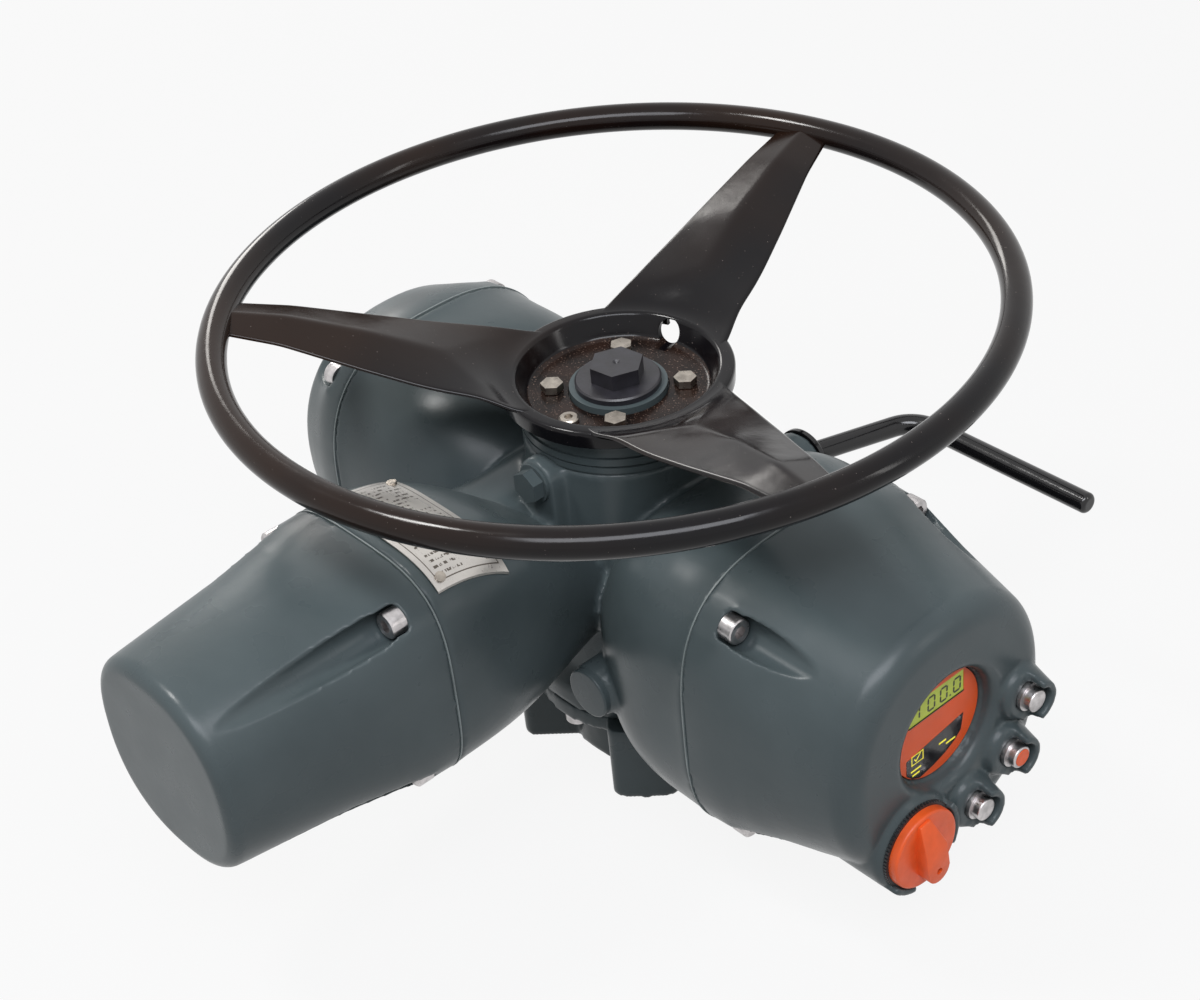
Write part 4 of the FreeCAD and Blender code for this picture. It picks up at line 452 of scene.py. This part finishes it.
def bevelled(obj, width, segments=3, angle=30.0):
    modifier = obj.modifiers.new("bevel", "BEVEL")
    modifier.width = width * MM
    modifier.segments = segments
    modifier.limit_method = "ANGLE"
    modifier.angle_limit = math.radians(angle)
    return shaded(applied(obj))


def rounded(corners, steps=6):
    """A closed outline whose corners (x, y, radius) are rounded off."""
    outline = []
    for k, (x, y, radius) in enumerate(corners):
        here = Vector((x, y))
        back = (Vector(corners[k - 1][:2]) - here).normalized()
        ahead = (Vector(corners[(k + 1) % len(corners)][:2]) - here).normalized()
        if radius <= 0.0:
            outline.append(here)
            continue
        half = back.angle(ahead) / 2.0
        cut = radius / math.tan(half)
        start, end = here + back * cut, here + ahead * cut
        for step in range(steps + 1):
            t = step / steps
            outline.append(start * (1 - t) ** 2 + here * (2 * t * (1 - t)) + end * t ** 2)
    return outline


def lathe(name, outline, steps=128, crease=35.0):
    """A closed outline of (radius, height) turned about Z."""
    points, faces = [], []
    count = len(outline)
    for k in range(steps):
        a = 2.0 * math.pi * k / steps
        for r, z in outline:
            points.append((r * math.cos(a), r * math.sin(a), z))
        for j in range(count):
            step = ((k + 1) % steps) * count
            faces.append((k * count + j, step + j, step + (j + 1) % count, k * count + (j + 1) % count))
    return mesh_object(name, points, faces, crease)


def prisms(name, outlines, low, high, crease=35.0):
    """Flat outlines of (x, y) raised from low to high."""
    points, faces = [], []
    for outline in outlines:
        first, count = len(points), len(outline)
        points += [(x, y, low) for x, y in outline] + [(x, y, high) for x, y in outline]
        faces.append(tuple(range(first + count - 1, first - 1, -1)))
        faces.append(tuple(range(first + count, first + 2 * count)))
        for k in range(count):
            n = (k + 1) % count
            faces.append((first + k, first + n, first + count + n, first + count + k))
    return mesh_object(name, points, faces, crease)


def arc_points(radius, start, end, steps, x=0.0, y=0.0):
    """Points of an arc round (x, y), from one angle to the other."""
    angles = [math.radians(start + (end - start) * k / steps) for k in range(steps + 1)]
    return [(x + radius * math.cos(a), y + radius * math.sin(a)) for a in angles]


def rectangle(x0, y0, x1, y1):
    return [(x0, y0), (x1, y0), (x1, y1), (x0, y1)]


def carved(obj, cutter):
    """Cuts one object out of another and removes the cutter."""
    cut = obj.modifiers.new("cut", "BOOLEAN")
    cut.operation = "DIFFERENCE"
    cut.object = cutter
    applied(obj)
    bpy.data.objects.remove(cutter)
    return obj


def axes(x, y, z):
    """A turn that carries X, Y and Z onto these three directions."""
    return Matrix((x, y, z)).transposed().to_4x4()


def placed(obj, matrix):
    obj.data.transform(matrix)
    return obj


def settle(obj, look, body, slot, *replaced):
    """Gives a finished piece its look and its body, and hides the CAD nodes it stands for; its slot is not
    used.
    """
    if look:
        paint(obj, look)
    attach(obj, body)
    if replaced:
        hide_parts(*replaced)
    return obj


def ramp(value, start, end):
    """A smooth step from 0 at start to 1 at end."""
    t = numpy.clip((value - start) / (end - start), 0.0, 1.0)
    return t * t * (3.0 - 2.0 * t)


# Castings: the CAD shapes with every edge softened as moulding and paint leave it

def relax(points, edges, passes, factors, weight):
    """Moves each point towards the mean of its neighbours, by each factor in turn."""
    a, b = edges[:, 0], edges[:, 1]
    count = numpy.bincount(edges.ravel(), minlength=len(points))[:, None]
    for _ in range(passes):
        for factor in factors:
            total = numpy.empty_like(points)
            for axis in range(3):
                total[:, axis] = numpy.bincount(a, points[b, axis], len(points))
                total[:, axis] += numpy.bincount(b, points[a, axis], len(points))
            points += (total / count - points) * (factor * weight)


def casting(node, voxel, passes, extra=(), calm=None, calm_passes=0, tuck=None):
    """A softened copy of a CAD casting: calm weighs the points that are smoothed further, tuck moves some."""
    mesh = nodes[node].data.copy()
    build = bmesh.new()
    build.from_mesh(mesh)
    for piece in extra:
        build.from_mesh(piece.data)
        bpy.data.objects.remove(piece)
    bmesh.ops.remove_doubles(build, verts=build.verts, dist=1e-6)
    build.to_mesh(mesh)
    build.free()
    obj = added("cast_" + node, mesh)
    modifier = obj.modifiers.new("remesh", "REMESH")
    modifier.mode = "VOXEL"
    modifier.voxel_size = voxel * MM
    applied(obj)
    points = numpy.empty(len(obj.data.vertices) * 3)
    obj.data.vertices.foreach_get("co", points)
    points = points.reshape(-1, 3)
    edges = numpy.empty(len(obj.data.edges) * 2, dtype=numpy.int32)
    obj.data.edges.foreach_get("vertices", edges)
    edges = edges.reshape(-1, 2)
    relax(points, edges, passes, (0.5, -0.5), numpy.ones((len(points), 1)))
    if calm:
        relax(points, edges, calm_passes, (0.5,), calm(points / MM)[:, None])
    if tuck:
        tuck(points)
    obj.data.vertices.foreach_set("co", points.ravel())
    obj.data.update()
    shaded(obj, 180.0)
    return settle(obj, "enamel", "housing", "grey_casting", node)


def housing_room(points):
    """Pulls the skin in a little under the nameplate, and back from the yoke at the top of its stroke."""
    x, along, z = points[:, 0] / MM, points[:, 1] / -MM, points[:, 2] / MM
    under = (x > PLATE_X[0] + UNDER_PLATE) & (x < PLATE_X[1] - UNDER_PLATE) & (z > MOTOR.rise + 8.0)
    under &= (along > PLATE_ALONG[0] + UNDER_PLATE) & (along < PLATE_ALONG[1] - UNDER_PLATE)
    radius = numpy.hypot(x, along)
    inner = (radius > YOKE_R[0]) & (radius < YOKE_R[1]) & (x > YOKE_X) & (z > YOKE_Z[0]) & (z < YOKE_Z[1])
    points[inner, :2] *= (1.0 + YOKE_ROOM / radius[inner])[:, None]
    points[inner & (z > YOKE_TOP_Z), 2] += YOKE_HEADROOM * MM
    middle = MOTOR.rise * MM
    points[under, 0] *= PULL_IN
    points[under, 2] = middle + (points[under, 2] - middle) * PULL_IN


def even_band(arm):
    """Weights for the band of an arm's cover next to the seam, away from its screws."""
    others = [k for k in range(3) if k != arm.axis]

    def weigh(points):
        along = points[:, arm.axis] * arm.sign
        weight = ramp(along, arm.seam, arm.seam + BAND_EASE_IN)
        weight = weight * (1.0 - ramp(along, arm.band_end - BAND_EASE_OUT, arm.band_end))
        across = points[:, others] - numpy.array((0.0, arm.rise))
        for dx in (-arm.screws, arm.screws):
            for dy in (-arm.screws, arm.screws):
                away = numpy.hypot(across[:, 0] - dx, across[:, 1] - dy)
                weight = weight * ramp(away, SCREW_PAD_R, SCREW_EASE_R)
        return weight
    return weigh


def arm_matrix(arm):
    """Places a piece drawn along Z on an arm, with the piece's Y upwards."""
    out = Vector((0.0, 0.0, 0.0))
    out[arm.axis] = arm.sign
    return Matrix.Translation(UP * arm.rise * MM) @ axes(UP.cross(out), UP, out)


def seam_highlight_line(name, arm):
    """A pale ring set in the seam: a painted highlight for the light that the seam's edges catch."""
    power = 1.0 / (0.5 - math.log2(arm.diagonal / arm.half))
    section = ((SEAM_DEPTH, -0.5), (-SEAM_PROUD, -0.5), (-SEAM_PROUD, 0.5), (SEAM_DEPTH, 0.5))
    points, faces = [], []
    steps = 240
    for k in range(steps):
        a = 2.0 * math.pi * k / steps
        c, s = math.cos(a), math.sin(a)
        r = arm.half / (abs(c) ** power + abs(s) ** power) ** (1.0 / power)
        for inset, across in section:
            points.append(((r - inset) * c, (r - inset) * s, arm.seam + across * SEAM_WIDTH))
        for j in range(4):
            n = ((k + 1) % steps) * 4
            faces.append((4 * k + j, n + j, n + (j + 1) % 4, 4 * k + (j + 1) % 4))
    settle(placed(mesh_object(name, points, faces), arm_matrix(arm)), "seam", "housing", "grey_casting")


def side_plug_head():
    outline = rounded([(0.0, SIDE_PLUG_FROM, 0.0), (SIDE_PLUG_R, SIDE_PLUG_FROM, 0.0),
                       (SIDE_PLUG_R, SIDE_PLUG_TO, 1.2), (0.0, SIDE_PLUG_TO, 0.0)])
    head = lathe("side_plug_head", outline, 64)
    place = Matrix.Translation((SIDE_PLUG_X * MM, 0, SIDE_PLUG_Z * MM))
    place = place @ Matrix.Rotation(math.radians(90.0), 4, "X")
    settle(placed(head, place), "enamel", "housing", "grey_casting", "side_plug")


# Handwheel

def wheel_rim():
    tube = arc_points(RIM_TUBE_R, 0.0, 351.0, 39, RIM_R, RIM_Z)
    settle(lathe("wheel_rim_tube", tube, 240, 180.0), "wheel", "handwheel", "black_enamel", "handwheel_rim")


def spoke_sheet(turn):
    """A pressed spoke: its ridge splits near the hub and the sheet flows into the hub's lip."""
    rows = numpy.array(SPOKE_ROWS)
    reach = numpy.linspace(rows[0, 0], rows[-1, 0], 110)
    tracks = [numpy.interp(reach, rows[:, 0], rows[:, k]) for k in (1, 2, 3)]
    for track in tracks:
        for _ in range(14):
            track[1:-1] = (track[:-2] + 2.0 * track[1:-1] + track[2:]) / 4.0
    across = numpy.linspace(-1.0, 1.0, 33)
    roll = [math.radians(a) for a in (22.5, 45.0, 67.5, 90.0)]
    points, faces = [], []
    for r, half, edge_z, ridge_z in zip(reach, *tracks):
        split = RIDGE_SPLIT * (1.0 - ramp(r, SPLIT_FROM, SPLIT_TO))
        height = numpy.clip((1.0 - abs(across)) / (1.0 - split), 0.0, 1.0)
        for _ in range(2):
            height[1:-1] = (height[:-2] + 2.0 * height[1:-1] + height[2:]) / 4.0
        line = [(v * half, edge_z + (ridge_z - edge_z) * h) for v, h in zip(across, height)]
        rolled = [(half + ROLL * math.sin(a), edge_z - ROLL * (1 - math.cos(a))) for a in roll]
        line = [(-y, z) for y, z in reversed(rolled)] + line + rolled
        arc = 1.0 - ramp(r, ARC_FROM, ARC_TO)
        for y, z in line:
            x = arc * math.sqrt(max(r * r - y * y, 0.0)) + (1.0 - arc) * r
            points.append((x, y, z))
    width = len(across) + 2 * len(roll)
    for k in range(len(reach) - 1):
        for j in range(width - 1):
            first = k * width + j
            faces.append((first, first + width, first + width + 1, first + 1))
    sheet = mesh_object("spoke", points, faces, 50.0)
    if sheet.data.polygons[len(sheet.data.polygons) // 2].normal.z < 0.0:
        sheet.data.flip_normals()
    solidify = sheet.modifiers.new("thickness", "SOLIDIFY")
    solidify.thickness = SHEET * MM
    solidify.offset = -1.0
    return placed(applied(sheet), Matrix.Rotation(math.radians(turn), 4, "Z"))


def hub_window():
    """The cutter of the oval hole in the hub's wall, under a spoke."""
    ring = [(HUB_WINDOW_TALL * x, HUB_WINDOW_WIDE * y) for x, y in arc_points(1.0, 0.0, 351.0, 39)]
    cutter = prisms("hub_window_cutter", [ring], HUB_WINDOW_FROM, HUB_WINDOW_TO)
    turn = math.radians(SPOKE_ANGLES[-1])
    out = Vector((math.cos(turn), math.sin(turn), 0.0))
    outwards = axes(UP, out.cross(UP), out)
    return placed(cutter, Matrix.Translation((0, 0, HUB_WINDOW_Z * MM)) @ outwards)


def wheel_pressing():
    dish = rounded([(HUB_BORE_R, HUB_PLATE_Z, 0.4), (47.5, HUB_PLATE_Z, 3.0), (51.5, 220.6, 1.2),
                    (53.5, 221.7, 0.6), (55.8, 221.2, 0.8), (55.6, HUB_SKIRT_Z, 0.6),
                    (HUB_SKIRT_R, HUB_SKIRT_Z, 0.6), (HUB_SKIRT_R + 0.3, HUB_LIP_Z, 2.6),
                    (50.6, HUB_LIP_Z, 3.0), (45.3, HUB_FLOOR_Z, 4.0), (HUB_BORE_R, HUB_FLOOR_Z, 0.4)])
    hub = carved(lathe("hub_dish", dish, 192, 60.0), hub_window())
    wheel = joined("wheel_pressing", [hub] + [spoke_sheet(a) for a in SPOKE_ANGLES])
    shaded(wheel, 50.0)
    wheel.data.materials.append(LOOKS["wheel"])
    wheel.data.materials.append(LOOKS["hub"])
    # Faces on the hub's floor take the dark paint with its painted brown reflection
    for face in wheel.data.polygons:
        middle = face.center
        on_floor = math.hypot(middle.x, middle.y) < HUB_FLOOR_R * MM and middle.z > (HUB_FLOOR_Z - 1.0) * MM
        face.material_index = 1 if on_floor else 0
    settle(wheel, None, "handwheel", "black_enamel", "handwheel_spider")


# Control panel: points are (row Y, height above the arm's axis, row X)

PANEL = arm_matrix(CONTROL)
BUTTONS = [(BUTTON_RADIUS * math.cos(math.radians(a)), BUTTON_RADIUS * math.sin(math.radians(a)))
           for a in BUTTON_ANGLES]


def on_panel(obj, x=0.0, y=0.0, turn=0.0):
    place = Matrix.Translation((x * MM, y * MM, 0)) @ Matrix.Rotation(math.radians(turn), 4, "Z")
    return placed(obj, PANEL @ place)


def printed(name, outlines, level, height, look, slot="black_plastic"):
    """Flat print on the panel, from one level up."""
    settle(on_panel(prisms(name, outlines, level, level + height)), look, "housing", slot)


# Segments of a digit: from and to, as shares of its width and half height
SEGMENTS = {"a": (0, 2, 1, 2), "b": (1, 2, 1, 1), "c": (1, 1, 1, 0), "d": (1, 0, 0, 0),
            "e": (0, 0, 0, 1), "f": (0, 1, 0, 2)}
# Left edge and lit segments of each digit
DIGITS = ((-16.0, "bc"), (-5.6, "abcdef"), (2.9, "abcdef"), (12.1, "abcdef"))


def segment(x0, y0, x1, y1):
    """A bar with pointed ends."""
    along = Vector((x1 - x0, y1 - y0)).normalized()
    side = Vector((-along.y, along.x)) * DIGIT_BAR / 2.0
    start, end = Vector((x0, y0)) + along * DIGIT_GAP, Vector((x1, y1)) - along * DIGIT_GAP
    tip = along * DIGIT_BAR / 2.0
    return [start, start + tip + side, end - tip + side, end, end - tip - side, start + tip - side]


def digit(left, lit):
    """The lit segments of a leaning digit."""
    half = DIGIT_HEIGHT / 2.0
    bars = []
    for name in lit:
        x0, y0, x1, y1 = SEGMENTS[name]
        ends = [(left + x * DIGIT_WIDTH + DIGIT_LEAN * y * half, DIGIT_FOOT + y * half)
                for x, y in ((x0, y0), (x1, y1))]
        bars.append(segment(*ends[0], *ends[1]))
    return bars


def tick_box(x0, y0, x1, y1, rim):
    """The four sides of a square frame, and a tick that stands in it."""
    sides = [rectangle(x0, y0, x1, y0 + rim), rectangle(x0, y1 - rim, x1, y1),
             rectangle(x0, y0, x0 + rim, y1), rectangle(x1 - rim, y0, x1, y1)]
    tick = [(-15.8, -8.4), (-14.4, -10.3), (-11.0, -6.6), (-11.5, -6.3), (-14.4, -9.3), (-15.3, -8.0)]
    return sides + [tick]


def display():
    """Digits, the dark lower field with its tick box, and short bars in place of words."""
    bars = [bar for left, lit in DIGITS for bar in digit(left, lit)]
    point = rectangle(9.2, 14.2, 10.2, 15.2)
    printed("display_digits", bars + [point], LCD_FACE, PRINT, "digit")
    field = [(-21.0, -6.5), (-21.0, -15.4), (-17.0, -19.4), (-12.0, -22.0), (-3.0, -20.6), (6.0, -18.0),
             (13.0, -14.5), (17.0, -10.7), (18.8, -1.4)]
    printed("display_field", [field], LABEL_FACE, FIELD, "dark_glass")
    words = [rectangle(-18.0, -15.4, -11.0, -14.4), rectangle(-17.0, -18.2, -12.0, -17.2),
             rectangle(1.5, -10.6, 6.5, -9.6), rectangle(6.5, -13.4, 13.0, -12.4)]
    marks = words + tick_box(-17.5, -11.4, -9.3, -5.6, 0.5)
    printed("display_marks", marks, LABEL_FACE + FIELD, PRINT, "lit", "display_green")
    border = rounded([(-19.3, 11.6, 1.0), (19.3, 11.6, 1.0), (19.3, 12.2, 0.0), (-19.3, 12.2, 0.0)], 2)
    printed("display_border", [border], LABEL_FACE, PRINT, "digit")


def knob_grip():
    """The bar across the knob: a rounded end with a hole, and a low pointed tail."""
    plan = [(-3.6, 18.4), (-7.1, 4.0), (-KNOB_GRIP_R, -11.0)]
    plan += arc_points(KNOB_GRIP_R, 180.0, 360.0, 12, 0.0, -9.4)[1:-1]
    plan += [(KNOB_GRIP_R, -11.0), (7.1, 4.0), (3.6, 18.4)]
    count = len(plan)
    points = [(x, y, KNOB_BASE + KNOB_DISC_H - 1.2) for x, y in plan]
    points += [(x, y, KNOB_BASE + (KNOB_GRIP_H if y < 5.0 else KNOB_TAIL_H)) for x, y in plan]
    top = [tuple(range(2 * count - 2, count, -1)), (count, 2 * count - 1, 2 * count - 2, count + 1)]
    sides = [(k, (k + 1) % count, count + (k + 1) % count, count + k) for k in range(count)]
    grip = bevelled(mesh_object("knob_grip", points, [tuple(range(count))] + top + sides), 1.1, 4)
    ring = arc_points(KNOB_HOLE_R, 0.0, 348.75, 31, 0.0, -10.0)
    return carved(grip, prisms("knob_hole_cutter", [ring], KNOB_BASE + 9.5, KNOB_BASE + 15.0))


def knob():
    edge = KNOB_BASE + KNOB_DISC_H
    disc = lathe("knob_disc", rounded([(0.0, KNOB_BASE, 0.0), (KNOB_R, KNOB_BASE, 0.5), (KNOB_R, edge, 1.6),
                                       (0.0, edge, 0.0)]), 96)
    whole = shaded(joined("selector_knob_piece", [disc, knob_grip()]))
    settle(on_panel(whole, *KNOB_AT, KNOB_TURN), "orange", "knob", "orange_plastic", "selector_knob")
    # The toothed ring round the knob's boss is black: painted shade for the shadows of its scalloped edge
    teeth = []
    for k in range(RING_TEETH):
        a = 360.0 / RING_TEETH * k
        teeth += arc_points(RING_OUTER_R, a, a + 2.2, 1) + arc_points(RING_INNER_R, a + 2.9, a + 4.3, 1)
    ring = prisms("knob_ring", [teeth], RING_FROM, RING_TO)
    settle(on_panel(ring, *KNOB_AT), "black", "housing", "black_plastic")


def hood_teeth():
    """The small pointed lugs under the button hoods, fused into the cover's casting."""
    lugs = []
    for x, y in BUTTONS:
        outline = [(-7.0, -10.0), (-1.0, -15.5), (2.5, -12.0), (-2.0, -8.0)]
        lugs.append(on_panel(prisms("hood_lug", [outline], LUG_FROM, LUG_TO), x, y))
    return lugs


# Castings first, then the pieces that sit on them

casting("gear_housing", 1.8, 8, tuck=housing_room)
casting("base_flange", 1.5, 6)
casting("motor_cover", 1.1, 7, calm=even_band(MOTOR), calm_passes=120)
casting("terminal_cover", 1.5, 6, calm=even_band(TERMINAL), calm_passes=120)
casting("control_cover", 1.1, 6, hood_teeth(), even_band(CONTROL), 160)
wheel_rim()
wheel_pressing()
display()
knob()
side_plug_head()
seam_highlight_line("motor_seam_highlight_line", MOTOR)
seam_highlight_line("terminal_seam_highlight_line", TERMINAL)
seam_highlight_line("control_seam_highlight_line", CONTROL)


# Floor, camera and light, in metres

FLOOR_REACH = 40.0
FLOOR_GLOW = 0.9                # how much of the floor is plain white to the eye; the rest takes the shadow
SKY_LIGHT = 0.32                # what the white surroundings add as light


def area_light(name, place, aim, size, power, colour):
    light = bpy.data.lights.new(name, "AREA")
    light.shape = "RECTANGLE"
    light.size, light.size_y = size
    light.energy = power
    light.color = colour
    obj = added(name, light)
    obj.location = place
    obj.rotation_mode = "QUATERNION"
    obj.rotation_quaternion = (Vector(aim) - Vector(place)).to_track_quat("-Z", "Y")


def seen_by_eye(tree):
    """One where the camera, a reflection or a refraction looks, and zero elsewhere."""
    path = tree.nodes.new("ShaderNodeLightPath")
    total = path.outputs["Is Camera Ray"]
    for name in ("Is Glossy Ray", "Is Transmission Ray"):
        adder = tree.nodes.new("ShaderNodeMath")
        adder.operation = "MAXIMUM"
        tree.links.new(total, adder.inputs[0])
        tree.links.new(path.outputs[name], adder.inputs[1])
        total = adder.outputs[0]
    return total


def studio():
    world = bpy.data.worlds.new("studio")
    bpy.context.scene.world = world
    world.use_nodes = True
    tree = world.node_tree
    background = tree.nodes["Background"]
    background.inputs["Color"].default_value = (1.0, 1.0, 1.0, 1.0)
    strength = tree.nodes.new("ShaderNodeMapRange")
    strength.inputs["To Min"].default_value = SKY_LIGHT
    strength.inputs["To Max"].default_value = 1.0
    tree.links.new(seen_by_eye(tree), strength.inputs["Value"])
    tree.links.new(strength.outputs["Result"], background.inputs["Strength"])

    mesh = bpy.data.meshes.new("floor")
    corners = [(x, y, 0) for x, y in rectangle(-FLOOR_REACH, -FLOOR_REACH, FLOOR_REACH, FLOOR_REACH)]
    mesh.from_pydata(corners, [], [(0, 1, 2, 3)])
    floor = added("floor", mesh)
    material = bpy.data.materials.new("pale_floor")
    material.use_nodes = True
    tree = material.node_tree
    shader = tree.nodes["Principled BSDF"]
    shader.inputs["Base Color"].default_value = linear(165, 165, 166)
    shader.inputs["Roughness"].default_value = 0.9
    shader.inputs["Specular IOR Level"].default_value = 0.1
    glow = tree.nodes.new("ShaderNodeEmission")
    glow.inputs["Color"].default_value = (1.0, 1.0, 1.0, 1.0)
    share = tree.nodes.new("ShaderNodeMapRange")
    share.inputs["To Max"].default_value = FLOOR_GLOW
    tree.links.new(seen_by_eye(tree), share.inputs["Value"])
    mixed = tree.nodes.new("ShaderNodeMixShader")
    tree.links.new(share.outputs["Result"], mixed.inputs[0])
    tree.links.new(shader.outputs["BSDF"], mixed.inputs[1])
    tree.links.new(glow.outputs["Emission"], mixed.inputs[2])
    tree.links.new(mixed.outputs["Shader"], tree.nodes["Material Output"].inputs["Surface"])
    floor.data.materials.append(material)

    aim = (0.02, -0.02, 0.15)
    area_light("softbox", (0.93, -0.74, 1.85), aim, (1.6, 0.8), 35.0, (0.92, 0.94, 1.0))
    area_light("key", (-0.6, -0.7, 1.9), aim, (0.35, 0.35), 18.0, (1.0, 0.99, 0.97))
    area_light("side", (1.9, 0.9, 1.0), aim, (0.2, 0.9), 3.0, (1.0, 0.98, 0.96))
    area_light("back", (-1.6, 0.5, 0.9), (0.0, 0.0, 0.2), (0.3, 0.7), 6.0, (1.0, 0.97, 0.93))


def camera():
    """The photo's viewpoint."""
    data = bpy.data.cameras.new("camera")
    data.sensor_width = 36.0
    data.lens = 69.21
    data.clip_start = 0.05
    right = Vector((0.66858, 0.73842, -0.08795))
    up = Vector((-0.38819, 0.44743, 0.80572))
    back = Vector((0.63431, -0.50454, 0.58575))
    obj = added("camera", data)
    obj.matrix_world = Matrix.Translation((0.73769, -0.60628, 0.83489)) @ axes(right, up, back)
    bpy.context.scene.camera = obj


camera()
studio()
bpy.context.scene.view_settings.view_transform = "Standard"
